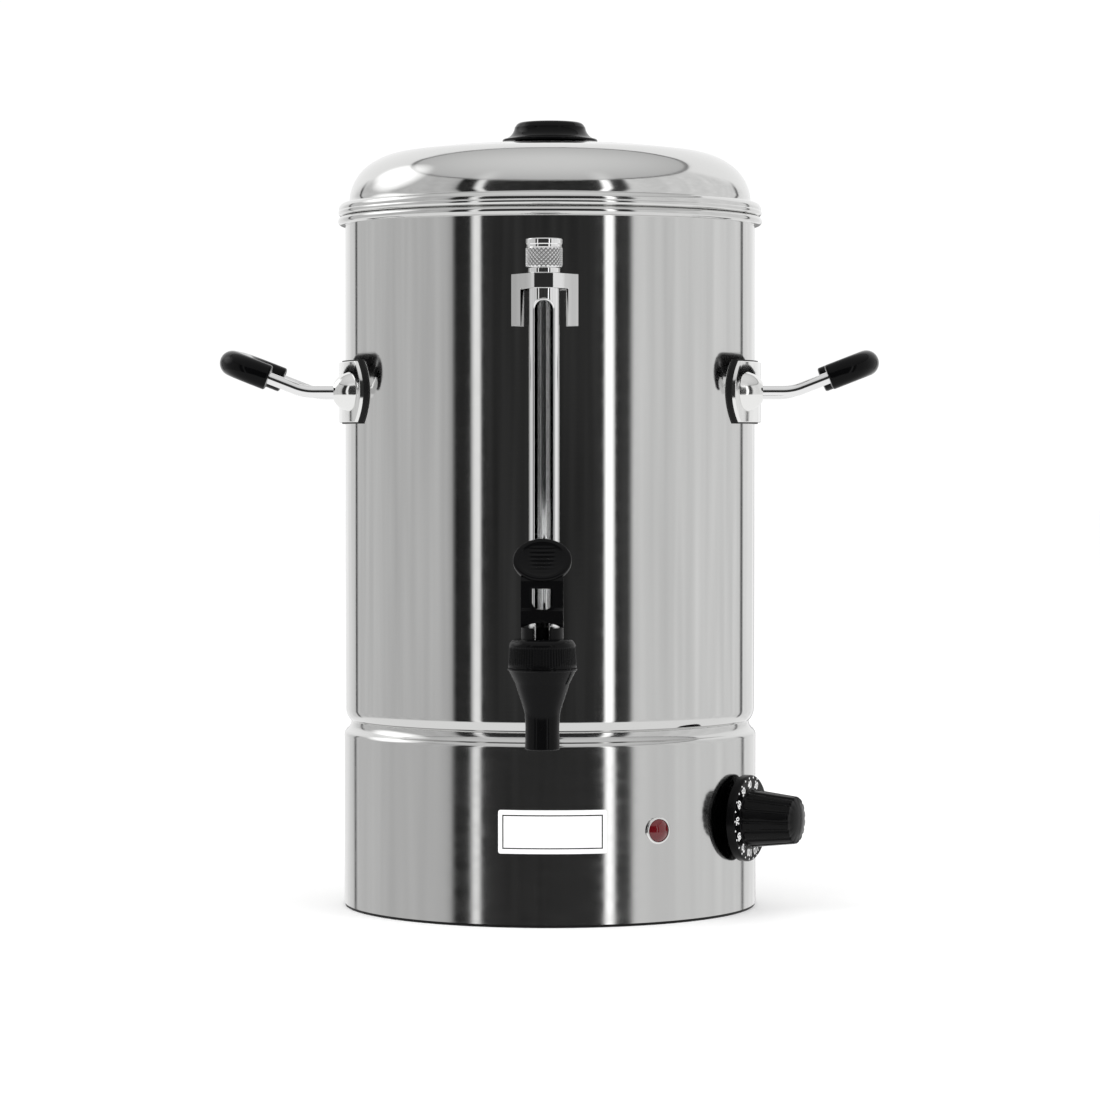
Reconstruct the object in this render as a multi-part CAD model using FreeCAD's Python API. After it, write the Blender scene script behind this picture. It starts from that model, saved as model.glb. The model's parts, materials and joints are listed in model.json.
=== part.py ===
"""Hot water urn: a polished tank with a sight gauge, a lever tap, a lift-off lid and a heated base.

Millimetres. The tank's axis is Z, the floor it stands on is z = 0, the tap faces -Y.
Round bodies are outlines turned about an axis. In an outline a point (r, z) is reached by a
straight line, and a point (mid r, mid z, r, z) by an arc through its first pair.
"""
import FreeCAD, Part
import math
import os

V = FreeCAD.Vector

# Tank and rim
tank_r = 114.5
sheet = 1.0
neck_inset = 3.0
neck_r = tank_r - neck_inset
lip_bottom_z = 103.3
neck_curl_z = 110.6
lip_reach = 7.5
rim_bead_r = 2.5
rim_top_z = 385.0
floor_thick = 1.0

# Base
skirt_overhang = 0.9
skirt_r = tank_r + skirt_overhang
skirt_bottom_z = 1.5
shoulder_z = 95.2
foot_ring_w = 11.4
foot_ring_in_r = skirt_r - foot_ring_w
foot_ring_inset = 0.3
foot_collar_h = 6.0
plate_thick = 1.0
vent_r = 3.0
vent_count = 8
vent_ring_r = 78.0
lug_inset = 17.4
lug_ring_r = skirt_r - lug_inset
lug_width = 14.0
lug_thick = 2.0
lug_height = 12.0
screw_m4_r = 1.9
screw_m4_head_r = 3.8
screw_m4_head_h = 2.2

# Lid
lid_plug_clear = 1.3
lid_side_r = tank_r - sheet - lid_plug_clear
lid_seat_gap = 0.3
lid_bead_h = 7.1
lid_bead_reach = 5.8
lid_bead_r = lid_side_r + lid_bead_reach
lid_side_top_z = 393.0
lid_shoulder_r = 25.4
lid_shoulder_deg = 53.8
lid_haunch_r = 38.3
lid_crown_r = 613.5
lid_sheet = 0.9
lid_plug_depth = 8.0
lid_knob_h = 11.6
lid_knob_r = 26.6
lid_knob_top_r = 15.3
lid_knob_foot_r = 20.0
lid_screw_reach = 8.0
lid_washer_r = 7.0
lid_washer_thick = 1.0

# Side handles
handle_z = 287.0
handle_leg_y = 43.0
handle_plate_h = 33.5
handle_plate_corner_y = 52.0
handle_plate_end_y = 58.5
handle_gasket_thick = 2.0
handle_gasket_margin = 0.8
handle_plate_thick = 1.5
handle_boss_r = 10.8
handle_boss_top_r = 5.0
handle_boss_reach = 8.0
handle_boss_side = 1.2
handle_rod_r = 3.25
handle_stand_off = 61.0
handle_bar_x = tank_r + handle_stand_off
handle_rise = 16.0
handle_slope_deg = 21.3
handle_knee_r = 28.0
handle_corner_r = 16.0
handle_grip_r = 7.1
handle_grip_sleeve = 23.0
handle_nut_af = 11.0
handle_nut_h = 5.0
handle_washer_r = 7.5
handle_rod_past_nut = 2.0

# Sight gauge
gauge_stand_off = 13.0
gauge_y = -tank_r - gauge_stand_off
shield_r = 8.2
shield_wall = 0.8
shield_bottom_z = 150.0
shield_top_z = 340.4
slot_width = 11.2
slot_top_z = 334.8
slot_bottom_z = 160.0
glass_r = 5.5
glass_bore_r = 4.0
glass_bottom_z = 143.0
glass_top_z = 344.5
gauge_socket_clear = 0.2
gauge_seal_h = 2.0
gauge_fit = 0.05
block_r = 10.0
block_bottom_z = 121.0
block_boss_r = 11.0
block_reach = 11.5
block_front_y = gauge_y - block_reach
block_depth = 22.2
block_back_y = block_front_y + block_depth
bracket_top_z = 348.6
bracket_bottom_z = 321.0
bracket_front_w = 10.3
bracket_back_w = 35.9
bracket_reach = 9.0
bracket_front_y = gauge_y - bracket_reach
bracket_band_h = 8.1
bracket_leg_w = 5.2
neck_spigot_depth = 6.4
neck_thread_r = 7.0
neck_top_z = 360.0
neck_nut_r = 8.5
neck_nut_h = 2.7
cap_r = 9.85
cap_h = 15.2
cap_groove_depth = 0.5
cap_gap = 0.3
cap_thread_clear = 0.8
cap_seal_thick = 1.4

# Tap
tap_stand_off = 35.0
tap_y = gauge_y - tap_stand_off
shank_z = 133.0
shank_r = 7.5
shank_bore_r = 4.5
shank_clear = 0.3
shank_length = 63.5
shank_inner_y = tap_y + shank_length
tap_boss_r = 12.0
washer_thick = 2.0
washer_r = 11.0
shank_past_washer = 11.0
inner_washer_y = shank_inner_y - shank_past_washer
shank_nut_af = 24.0
shank_nut_h = 7.0
spout_tip_z = 99.4
spout_tip_r = 9.1
spout_bore_r = 6.4
spout_waist_r = 9.35
spout_waist_drop = 23.1
spout_flare_r = 11.45
spout_flare_drop = 16.3
spout_cup_r = 14.15
spout_cup_drop = 8.0
seat_z = 127.0
chamber_r = 9.5
flange_r = 18.1
flange_z = 141.7
collar_r = 15.2
collar_h = 5.8
bonnet_gap = 0.3
bonnet_top_r = 17.2
bonnet_shoulder_r = 12.5
bonnet_top_z = 157.0
bonnet_ceiling_z = 154.0
bonnet_neck_r = 11.0
bonnet_neck_h = 6.0
bonnet_notch_w = 7.8
stem_r = 3.5
stem_clear = 0.1
stem_flange_r = 6.5
stem_flange_z = 134.0
stem_flange_h = 2.0
cup_r = 8.2
cup_recess_r = 4.0
pivot_z = 167.0
pivot_pin_r = 1.5
pivot_pin_length = 20.0
pivot_clear = 0.06
stem_past_pivot = 3.0
lever_gap = 0.35
lever_w = 22.0
lever_hub_front = 9.0
lever_hub_back = 7.0
lever_hub_top_z = 172.0
lever_nose_chamfer = 2.0
lever_front_wall = 0.8
lever_slot_clear = 0.4
lever_arch_r = 20.0
lever_arch_h = 2.6
lever_plate_front = 7.4
lever_plate_thick = 5.0
lever_window_w = 10.4
lever_window_bottom_z = 172.6
lever_window_top_z = 183.4
pad_w = 30.6
pad_h = 24.5
pad_z = 196.7
pad_back = 1.6
pad_thick = 4.4
pad_lean_deg = 28.0
pad_dish_depth = 1.5
spring_r = 5.6
spring_wire_r = 0.6
spring_turns = 5

# Thermostat and its knob
knob_azimuth = 65.0
knob_z = 53.0
knob_stand_off = 3.0
dial_r = 23.75
dial_thick = 5.0
grip_r = 15.9
grip_end_r = 13.0
grip_length = 27.0
grip_dome = 2.0
flute_count = 16
flute_r = 1.3
knob_shaft_r = 3.0
knob_shaft_depth = 16.0
thermostat_w = 34.0
thermostat_h = 40.0
thermostat_depth = 30.0
thermostat_inset = 7.4
thermostat_face = skirt_r - thermostat_inset
shaft_clear = 0.05
shaft_in = 12.0
spacer_r = 20.0
thermostat_screw_offset = 14.0
thermostat_screw_reach = 6.0
screw_clear = 0.2
probe_r = 3.4
probe_length = 20.0
pocket_r = 5.0
pocket_bore_r = 3.6
pocket_x = 40.0
pocket_y = 20.0
pocket_drop = 6.0
pocket_rise = 20.0
capillary_r = 1.0
capillary_bend_r = 14.0
capillary_drop = 32.0

# Pilot lamp and label
lamp_azimuth = 31.5
lamp_z = 50.8
lens_r = 6.2
lens_height = 3.4
lens_edge = 0.8
bezel_r = 7.3
bezel_thick = 1.2
lamp_body_r = 5.0
lamp_body_length = 24.0
lamp_nut_r = 8.0
lamp_nut_h = 3.0
label_azimuth = 2.1
label_z = 51.4
label_w = 58.5
label_h = 23.4
label_thick = 0.5
label_glue = 0.1

# Heating element
element_r = 4.0
element_loop_r = 62.0
element_gap_deg = 25.0
element_bend_r = 12.0
element_z = 118.0
element_end_z = 86.0
seal_r = 9.0
seal_thick = 2.0
element_nut_af = 16.0
element_nut_h = 6.0

# Cut-out with its reset button, cable gland and terminals, at the back
cutout_azimuth = 155.0
rear_z = 30.0
cutout_r = 12.0
cutout_length = 26.0
cutout_neck_r = 6.0
cutout_neck_out = 7.0
cutout_nut_r = 9.0
cutout_nut_h = 3.5
button_r = 3.0
button_depth = 10.0
button_proud = 1.5
button_clear = 0.06
button_travel = 2.0
gland_r = 11.0
gland_flange = 3.6
gland_dome_r = 9.5
gland_dome_length = 16.0
gland_thread_r = 8.0
gland_inside = 12.0
gland_bore_r = 4.5
gland_nut_af = 22.0
gland_nut_h = 5.0
gland_hole_clear = 0.2
terminal_w = 40.0
terminal_d = 18.0
terminal_h = 16.0
terminal_y = 66.0
terminal_hole_r = 2.0
terminal_ways = 3

tank_in_r = tank_r - sheet
skirt_in_r = skirt_r - sheet
lid_seat_z = rim_top_z + lid_seat_gap


def outline(points):
    """A closed flat face in the XZ plane through the points (see the top of the file)."""
    edges = []
    at = V(points[0][0], 0, points[0][1])
    for point in list(points[1:]) + [points[0][:2]]:
        end = V(point[-2], 0, point[-1])
        if at.distanceToPoint(end) > 1e-6:
            if len(point) == 4:
                edges.append(Part.Arc(at, V(point[0], 0, point[1]), end).toShape())
            else:
                edges.append(Part.LineSegment(at, end).toShape())
        at = end
    return Part.Face(Part.Wire(edges))


def dome(r, z, rise):
    """The arc of a round dome from the point (r, z) up to the axis, as an outline's last point."""
    ball = (r ** 2 + rise ** 2) / (2 * rise)
    half = math.asin(r / ball) / 2
    return (ball * math.sin(half), z + rise - ball + ball * math.cos(half), 0, z + rise)


def turned(points):
    """The outline turned a full circle about Z."""
    return outline(points).revolve(V(0, 0, 0), V(0, 0, 1), 360)


def ring(r_in, r_out, z_low, z_high):
    """A plain ring or, with no inner radius, a disc, about Z."""
    disc = Part.makeCylinder(r_out, z_high - z_low, V(0, 0, z_low))
    if r_in <= 0:
        return disc
    return disc.cut(Part.makeCylinder(r_in, z_high - z_low, V(0, 0, z_low)))


def moved(shape, x=0.0, y=0.0, z=0.0):
    """A copy of the shape, shifted."""
    copy = shape.copy()
    copy.translate(V(x, y, z))
    return copy


def spun(shape, degrees):
    """A copy of the shape, turned about the tank's axis."""
    copy = shape.copy()
    copy.rotate(V(0, 0, 0), V(0, 0, 1), degrees)
    return copy


def radial(shape, azimuth, z):
    """Lays a shape built along Z on a radius of the urn: its Z becomes the way out from the axis.

    Azimuth is in degrees from the front towards +X. The shape's Y becomes up.
    """
    copy = shape.copy()
    copy.rotate(V(0, 0, 0), V(1, 0, 0), 90)
    copy.rotate(V(0, 0, 0), V(0, 0, 1), azimuth)
    copy.translate(V(0, 0, z))
    return copy


def along_x(shape, x, y, z):
    """Lays a shape built along Z along +X, its start at the given point."""
    copy = shape.copy()
    copy.rotate(V(0, 0, 0), V(0, 1, 0), 90)
    copy.translate(V(x, y, z))
    return copy


def along_y(shape, y, z):
    """Lays a shape built along Z along +Y in the plane x = 0, its start at y."""
    copy = shape.copy()
    copy.rotate(V(0, 0, 0), V(1, 0, 0), -90)
    copy.translate(V(0, y, z))
    return copy


def hexagon(across_flats, height):
    """A hexagonal prism about Z, standing on z = 0."""
    corner = across_flats / math.sqrt(3)
    points = [V(corner * math.cos(math.radians(60 * i)), corner * math.sin(math.radians(60 * i)), 0)
              for i in range(7)]
    return Part.Face(Part.makePolygon(points)).extrude(V(0, 0, height))


def rounded_path(points, radii):
    """A wire of straight runs through the points, with a tangent arc at each inner point."""
    edges = []
    at = points[0]
    for corner, after, radius in zip(points[1:-1], points[2:], radii):
        back = (at - corner).normalize()
        ahead = (after - corner).normalize()
        half_angle = math.acos(max(-1.0, min(1.0, back.dot(ahead)))) / 2
        reach = radius / math.tan(half_angle)
        start = corner + back * reach
        end = corner + ahead * reach
        middle_way = (back + ahead).normalize()
        mid = corner + middle_way * (radius / math.sin(half_angle) - radius)
        edges.append(Part.LineSegment(at, start).toShape())
        edges.append(Part.Arc(start, mid, end).toShape())
        at = end
    edges.append(Part.LineSegment(at, points[-1]).toShape())
    return Part.Wire(edges)


def swept(wire, radius):
    """A round bar of the given radius along a tangent wire."""
    first = wire.OrderedEdges[0]
    start = first.valueAt(first.FirstParameter)
    way = first.tangentAt(first.FirstParameter)
    if first.Orientation == "Reversed":
        start = first.valueAt(first.LastParameter)
        way = way * -1
    section = Part.Wire(Part.Circle(start, way, radius).toShape())
    shell = Part.BRepOffsetAPI.MakePipeShell(wire)
    shell.add(section, False, False)
    shell.build()
    shell.makeSolid()
    return shell.shape()


def inside_tank(shape):
    """The part of a shape that lies inside the tank's bore."""
    return shape.common(Part.makeCylinder(tank_in_r, rim_top_z))


def outside(shape, radius):
    """The part of a shape that lies outside a cylinder about the tank's axis."""
    return shape.cut(Part.makeCylinder(radius, rim_top_z))


def group(shapes):
    """Separate solids that share one node."""
    return Part.makeCompound(shapes)


def tap_turned(points):
    """An outline turned about the tap's own vertical axis."""
    return moved(turned(points), y=tap_y)


def gauge_turned(points):
    """An outline turned about the sight gauge's vertical axis."""
    return moved(turned(points), y=gauge_y)


def rod_holes(radius):
    """Bars through both sides of the tank where the handles' rods pass."""
    reach = handle_bar_x
    return group([along_x(Part.makeCylinder(radius, 2 * reach), -reach, side * handle_leg_y, handle_z)
                  for side in (-1, 1)])


# Tank

def curl_point(radius, degrees):
    """A point on the arc that curls the tank's wall in to the neck."""
    turn = math.radians(degrees)
    return (curl_centre_r + radius * math.cos(turn), neck_curl_z - radius * math.sin(turn))


curl_in = tank_r - neck_r
lip_top_z = lip_bottom_z + sheet
curl_drop = neck_curl_z - lip_top_z + sheet / 2
curl_r = (curl_in ** 2 + curl_drop ** 2) / (2 * curl_in)
curl_centre_r = tank_r - curl_r
curl_deg = math.degrees(math.asin(curl_drop / curl_r))


def make_tank_shell():
    bead_r = tank_in_r + rim_bead_r
    bead_z = rim_top_z - rim_bead_r
    wall = turned([
        (tank_in_r, bead_z), (bead_r, rim_top_z, bead_r + rim_bead_r, bead_z),
        (bead_r, bead_z - rim_bead_r, tank_r + 0.2, bead_z - rim_bead_r * 0.8),
        (tank_r, bead_z - rim_bead_r),
        (tank_r, neck_curl_z), curl_point(curl_r, curl_deg / 2) + curl_point(curl_r, curl_deg),
        (neck_r, lip_bottom_z), (neck_r - lip_reach, lip_bottom_z), (neck_r - lip_reach, lip_top_z),
        (curl_point(curl_r - sheet, curl_deg)[0] - 0.3, lip_top_z),
        curl_point(curl_r - sheet, curl_deg),
        curl_point(curl_r - sheet, curl_deg / 2) + (tank_in_r, neck_curl_z)])
    holes = [rod_holes(handle_rod_r + screw_clear),
             along_y(Part.makeCylinder(shank_r + shank_clear, tank_r), -tank_r * 1.2, shank_z)]
    return wall.cut(group(holes))


def make_tank_floor():
    floor_r = curl_point(curl_r - sheet, curl_deg)[0] - 0.8
    disc = ring(0, floor_r, lip_top_z, lip_top_z + floor_thick)
    holes = [moved(Part.makeCylinder(element_r + screw_clear, 99), x, y, lip_bottom_z - 20)
             for x, y in element_legs()]
    holes.append(moved(Part.makeCylinder(pocket_r, 99), pocket_x, pocket_y, lip_bottom_z - 20))
    return disc.cut(group(holes))


# Base

def make_base_skirt():
    inner = neck_r - lip_reach
    top = lip_bottom_z
    shell = turned([
        (inner, top), (neck_r, top),
        (neck_r + 0.7, top - 2.6, skirt_r - 1.1, shoulder_z + 3.2), (skirt_r - 0.8, shoulder_z + 2.8),
        (skirt_r - 0.2, shoulder_z + 1.7, skirt_r, shoulder_z), (skirt_r, skirt_bottom_z),
        (skirt_in_r, skirt_bottom_z), (skirt_in_r, shoulder_z),
        (skirt_in_r - 0.3, shoulder_z + 1.4, skirt_in_r - 1.0, shoulder_z + 2.4),
        (neck_r - 0.2, top - 3.3, neck_r - sheet, top - sheet), (inner, top - sheet)])
    holes = [
        radial(Part.makeCylinder(knob_shaft_r + sheet, skirt_r * 1.2), knob_azimuth, knob_z),
        radial(Part.makeCylinder(lamp_body_r + screw_clear, skirt_r * 1.2), lamp_azimuth, lamp_z),
        radial(Part.makeCylinder(cutout_neck_r + screw_clear, skirt_r * 1.2), cutout_azimuth, rear_z),
        radial(Part.makeCylinder(gland_thread_r + gland_hole_clear, skirt_r * 1.2), 180, rear_z)]
    holes += thermostat_screw_bars(screw_m4_r + screw_clear, 0, skirt_r * 1.2)
    return shell.cut(group(holes))


plate_z = skirt_bottom_z + foot_collar_h


def make_foot_ring():
    collar_r_out = skirt_in_r - 0.1
    slab_r = skirt_r - foot_ring_inset
    return turned([
        (foot_ring_in_r, 0), (slab_r, 0), (slab_r, skirt_bottom_z), (collar_r_out, skirt_bottom_z),
        (collar_r_out, plate_z), (foot_ring_in_r, plate_z)])


def lug_places():
    return [45 + 90 * i for i in range(4)]


def make_base_plate():
    plate = ring(0, skirt_in_r - 0.5, plate_z, plate_z + plate_thick)
    vents = [spun(moved(Part.makeCylinder(vent_r, 20), vent_ring_r), 360 / vent_count * (i + 0.5))
             for i in range(vent_count)]
    screws = [spun(moved(Part.makeCylinder(screw_m4_r + screw_clear, 20), lug_ring_r), a)
              for a in lug_places()]
    return plate.cut(group(vents + screws))


def make_skirt_lugs():
    low = plate_z + plate_thick
    tab = Part.makeBox(skirt_r, lug_width, lug_thick, V(lug_ring_r - lug_width / 2, -lug_width / 2, low))
    leg = Part.makeBox(skirt_r, lug_width, lug_height, V(skirt_in_r - lug_thick, -lug_width / 2, low))
    lug = tab.fuse(leg).common(Part.makeCylinder(skirt_in_r, skirt_r))
    lug = lug.cut(moved(Part.makeCylinder(screw_m4_r, 99), lug_ring_r))
    return group([spun(lug, a) for a in lug_places()])


def make_base_plate_screws():
    length = plate_thick + lug_thick + screw_m4_head_h
    screw = turned([
        (0, 0), (screw_m4_head_r - 0.8, 0), (screw_m4_head_r, 0.8), (screw_m4_head_r, screw_m4_head_h),
        (screw_m4_r, screw_m4_head_h), (screw_m4_r, screw_m4_head_h + length),
        (0, screw_m4_head_h + length)])
    screw = moved(screw, lug_ring_r, 0, plate_z - screw_m4_head_h)
    return group([spun(screw, a) for a in lug_places()])


# Lid

def lid_curve(offset):
    """The lid's rise from its side to the crown, set in from the outer skin by the offset.

    Returns the side radius, then the arcs as mid and end points up to the axis.
    """
    turn = math.radians(lid_shoulder_deg)
    shoulder = (lid_side_r - lid_shoulder_r, lid_side_top_z)
    haunch = (shoulder[0] - (lid_haunch_r - lid_shoulder_r) * math.cos(turn),
              shoulder[1] - (lid_haunch_r - lid_shoulder_r) * math.sin(turn))
    crown_z = haunch[1] - math.sqrt((lid_crown_r - lid_haunch_r) ** 2 - haunch[0] ** 2)
    meet = math.atan2(haunch[1] - crown_z, haunch[0])

    def at(centre, radius, angle):
        reach = radius - offset
        return (centre[0] + reach * math.cos(angle), centre[1] + reach * math.sin(angle))

    middle = (turn + meet) / 2
    top = (meet + math.pi / 2) / 2
    return [
        at(shoulder, lid_shoulder_r, turn / 2) + at(shoulder, lid_shoulder_r, turn),
        at(haunch, lid_haunch_r, middle) + at(haunch, lid_haunch_r, meet),
        at((0, crown_z), lid_crown_r, top) + (0, crown_z + lid_crown_r - offset)]


def lid_apex(offset=0.0):
    """Height of the crown on the axis, set in by the offset."""
    return lid_curve(offset)[-1][-1]


def make_lid():
    seat = lid_seat_z
    plug_z = seat - lid_plug_depth
    bead_top = seat + lid_bead_h
    inner = lid_curve(lid_sheet)
    outer = lid_curve(0)
    inner_down = [
        inner[1][2:], inner[1][:2] + inner[0][2:],
        inner[0][:2] + (lid_side_r - lid_sheet, lid_side_top_z)]
    points = [
        (lid_side_r - lid_sheet, plug_z), (lid_side_r, plug_z), (lid_side_r, seat), (lid_bead_r - 2.6, seat),
        (lid_bead_r, seat + 0.7, lid_bead_r, seat + 3.0),
        (lid_bead_r - 0.6, bead_top - 1.2, lid_side_r + 1.2, bead_top),
        (lid_side_r + 0.3, bead_top + 0.2, lid_side_r, lid_side_top_z)] + outer
    points += [(0, lid_apex(lid_sheet)), inner[2][:2] + inner_down[0], inner_down[1], inner_down[2]]
    return turned(points).cut(Part.makeCylinder(screw_m4_r + screw_clear, 99, V(0, 0, rim_top_z)))


def make_lid_knob():
    foot = lid_apex()
    top = foot + lid_knob_h
    rim = lid_knob_r
    body = turned([
        (0, foot), (lid_knob_foot_r, foot), (lid_knob_foot_r + 0.6, foot + 0.7), (rim - 1.2, foot + 0.9),
        (rim, foot + 1.5, rim - 0.9, foot + 2.3), (rim - 4.4, foot + 4.2, lid_knob_top_r + 4.5, top - 2.8),
        (lid_knob_top_r + 3.5, top - 1.3),
        (lid_knob_top_r + 2.2, top - 0.3, lid_knob_top_r, top), (0, top)])
    return body.cut(Part.makeCylinder(screw_m4_r, lid_screw_reach, V(0, 0, foot)))


def make_lid_knob_washer():
    top = lid_apex(lid_sheet) - 0.05
    return ring(screw_m4_r + screw_clear, lid_washer_r, top - lid_washer_thick, top)


def make_lid_knob_screw():
    head_top = lid_apex(lid_sheet) - 0.05 - lid_washer_thick
    tip = lid_apex() + lid_screw_reach
    return turned([
        (0, head_top - screw_m4_head_h), (screw_m4_head_r - 0.8, head_top - screw_m4_head_h),
        (screw_m4_head_r, head_top - screw_m4_head_h + 0.8), (screw_m4_head_r, head_top),
        (screw_m4_r, head_top), (screw_m4_r, tip), (0, tip)])


# Side handles, built on the +X side; the other side is turned half a circle

handle_run = handle_rise / math.tan(math.radians(handle_slope_deg))
handle_knee_x = handle_bar_x - handle_run
gasket_out_r = tank_r + handle_gasket_thick
handle_plate_r = gasket_out_r + handle_plate_thick


def plate_prism(margin):
    """The bowed outline of a handle's plate, as a bar along X."""
    half = handle_plate_h / 2 + margin
    corner = handle_plate_corner_y + margin
    end = handle_plate_end_y + margin
    shape = outline([
        (-corner, -half), (corner, -half), (end, 0, corner, half), (-corner, half),
        (-end, 0, -corner, -half)])
    bar = shape.extrude(V(0, -handle_bar_x, 0))
    bar.rotate(V(0, 0, 0), V(0, 0, 1), 90)
    bar.translate(V(0, 0, handle_z))
    return bar


def wall_x(radius):
    """Where a cylinder about the tank's axis crosses the line of a handle's rod."""
    return math.sqrt(radius ** 2 - handle_leg_y ** 2)


def make_handle_gasket():
    band = ring(tank_r, gasket_out_r, 0, rim_top_z).common(plate_prism(handle_gasket_margin))
    return band.cut(rod_holes(handle_rod_r + screw_clear))


def make_handle_plate():
    band = ring(gasket_out_r, handle_plate_r, 0, rim_top_z).common(plate_prism(0))
    root = wall_x(handle_plate_r)
    boss = turned([
        (0, -handle_boss_r), (handle_boss_r, -handle_boss_r), (handle_boss_r, handle_boss_side),
        (handle_boss_top_r + 2.4, handle_boss_reach - 1.4, handle_boss_top_r, handle_boss_reach),
        (0, handle_boss_reach)])
    for side in (-1, 1):
        band = band.fuse(outside(along_x(boss, root, side * handle_leg_y, handle_z), gasket_out_r))
    return band.removeSplitter().cut(rod_holes(handle_rod_r + 0.05))


def make_handle_rod():
    start = wall_x(tank_in_r) - handle_nut_h * 2 - handle_rod_past_nut
    bar_z = handle_z + handle_rise
    leg = handle_leg_y
    points = [V(start, leg, handle_z), V(handle_knee_x, leg, handle_z), V(handle_bar_x, leg, bar_z),
              V(handle_bar_x, -leg, bar_z), V(handle_knee_x, -leg, handle_z), V(start, -leg, handle_z)]
    radii = [handle_knee_r, handle_corner_r, handle_corner_r, handle_knee_r]
    return swept(rounded_path(points, radii), handle_rod_r)


def make_handle_grip():
    slope = math.radians(handle_slope_deg)
    bar_z = handle_z + handle_rise
    leg = handle_leg_y
    start_x = handle_bar_x - handle_grip_sleeve * math.cos(slope)
    start_z = bar_z - handle_grip_sleeve * math.sin(slope)
    points = [V(start_x, leg, start_z), V(handle_bar_x, leg, bar_z),
              V(handle_bar_x, -leg, bar_z), V(start_x, -leg, start_z)]
    sleeve = swept(rounded_path(points, [handle_corner_r, handle_corner_r]), handle_grip_r)
    return sleeve.cut(make_handle_rod())


def make_handle_nuts():
    seat = wall_x(tank_in_r) - handle_nut_h
    washer = Part.makeCylinder(handle_washer_r, handle_nut_h * 3)
    nut = hexagon(handle_nut_af, handle_nut_h)
    nuts = []
    for side in (-1, 1):
        y = side * handle_leg_y
        solid = inside_tank(along_x(washer, seat, y, handle_z))
        solid = solid.fuse(along_x(nut, seat - handle_nut_h, y, handle_z))
        nuts.append(solid.cut(make_handle_rod()))
    return group(nuts)


# Sight gauge

def make_gauge_block():
    post_top = shield_bottom_z + gauge_seal_h * 3
    spigot_r = shield_r - shield_wall - gauge_fit
    post = gauge_turned([
        (0, block_bottom_z), (block_r - 1, block_bottom_z), (block_r, block_bottom_z + 1),
        (block_r, shield_bottom_z), (spigot_r, shield_bottom_z), (spigot_r, post_top), (0, post_top)])
    boss = along_y(Part.makeCylinder(block_boss_r, block_back_y - block_front_y), block_front_y, shank_z)
    seal_seat = glass_bottom_z - gauge_seal_h
    well = gauge_turned([
        (0, shank_z), (glass_bore_r, shank_z), (glass_bore_r, seal_seat),
        (glass_r + gauge_socket_clear, seal_seat), (glass_r + gauge_socket_clear, post_top), (0, post_top)])
    bore = along_y(Part.makeCylinder(shank_r + shank_clear, 99), -block_r + block_front_y, shank_z)
    return post.fuse(boss).cut(bore).cut(well)


def make_gauge_seals():
    low = glass_bottom_z - gauge_seal_h
    out_r = glass_r + gauge_socket_clear - gauge_fit
    return group([
        moved(ring(glass_bore_r, out_r, low, glass_bottom_z), y=gauge_y),
        moved(ring(glass_bore_r, out_r, glass_top_z, glass_top_z + gauge_seal_h), y=gauge_y)])


def make_gauge_glass():
    return moved(ring(glass_bore_r, glass_r, glass_bottom_z, glass_top_z), y=gauge_y)


def make_gauge_shield():
    tube = ring(shield_r - shield_wall, shield_r, shield_bottom_z, shield_top_z)
    half = slot_width / 2
    cutter = outline([
        (-half, slot_bottom_z + half), (0, slot_bottom_z, half, slot_bottom_z + half),
        (half, slot_top_z - half), (0, slot_top_z, -half, slot_top_z - half)])
    cutter = cutter.extrude(V(0, -shield_r * 2, 0))
    return moved(tube.cut(cutter), y=gauge_y)


def make_gauge_neck():
    seat = glass_top_z + gauge_seal_h
    socket = glass_r + gauge_socket_clear
    spigot_r = shield_r - shield_wall - gauge_fit
    low = shield_top_z - neck_spigot_depth
    return gauge_turned([
        (socket, low), (spigot_r, low), (spigot_r, bracket_top_z - sheet),
        (neck_thread_r, bracket_top_z - sheet), (neck_thread_r, neck_top_z),
        (glass_bore_r, neck_top_z), (glass_bore_r, seat), (socket, seat)])


def make_gauge_neck_nut():
    return moved(ring(neck_thread_r, neck_nut_r, bracket_top_z, bracket_top_z + neck_nut_h), y=gauge_y)


def bracket_plan(inset):
    """The bracket's plan, from its front face back into the tank, as a face at its lower edge."""
    front = bracket_front_w / 2 - inset * 0.6
    back = bracket_back_w / 2 - inset * 1.2
    back_y = -math.sqrt(tank_r ** 2 - (bracket_back_w / 2) ** 2)
    y = bracket_front_y + inset
    reach = back + (back - front) * 0.5
    deep = back_y + (back_y - y) * 0.5
    corners = [V(-front, y, 0), V(front, y, 0), V(reach, deep, 0), V(-reach, deep, 0), V(-front, y, 0)]
    face = Part.Face(Part.makePolygon(corners))
    face.translate(V(0, 0, bracket_bottom_z))
    return face


def make_gauge_bracket():
    height = bracket_top_z - bracket_bottom_z
    outer = bracket_plan(0).extrude(V(0, 0, height))
    inner = bracket_plan(sheet).extrude(V(0, 0, height - sheet))
    shell = outside(outer.cut(inner), tank_r)
    leg_x = bracket_back_w / 2 - bracket_leg_w
    window = Part.makeBox(2 * leg_x, tank_r, height - bracket_band_h,
                          V(-leg_x, -tank_r * 1.5, bracket_bottom_z))
    hole = Part.makeCylinder(neck_thread_r + gauge_fit, 99, V(0, gauge_y, bracket_bottom_z))
    side = Part.makeBox(bracket_back_w, tank_r, height,
                        V(-bracket_back_w / 2, -tank_r * 1.5, bracket_bottom_z))
    return shell.common(side).cut(window).cut(hole)


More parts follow.
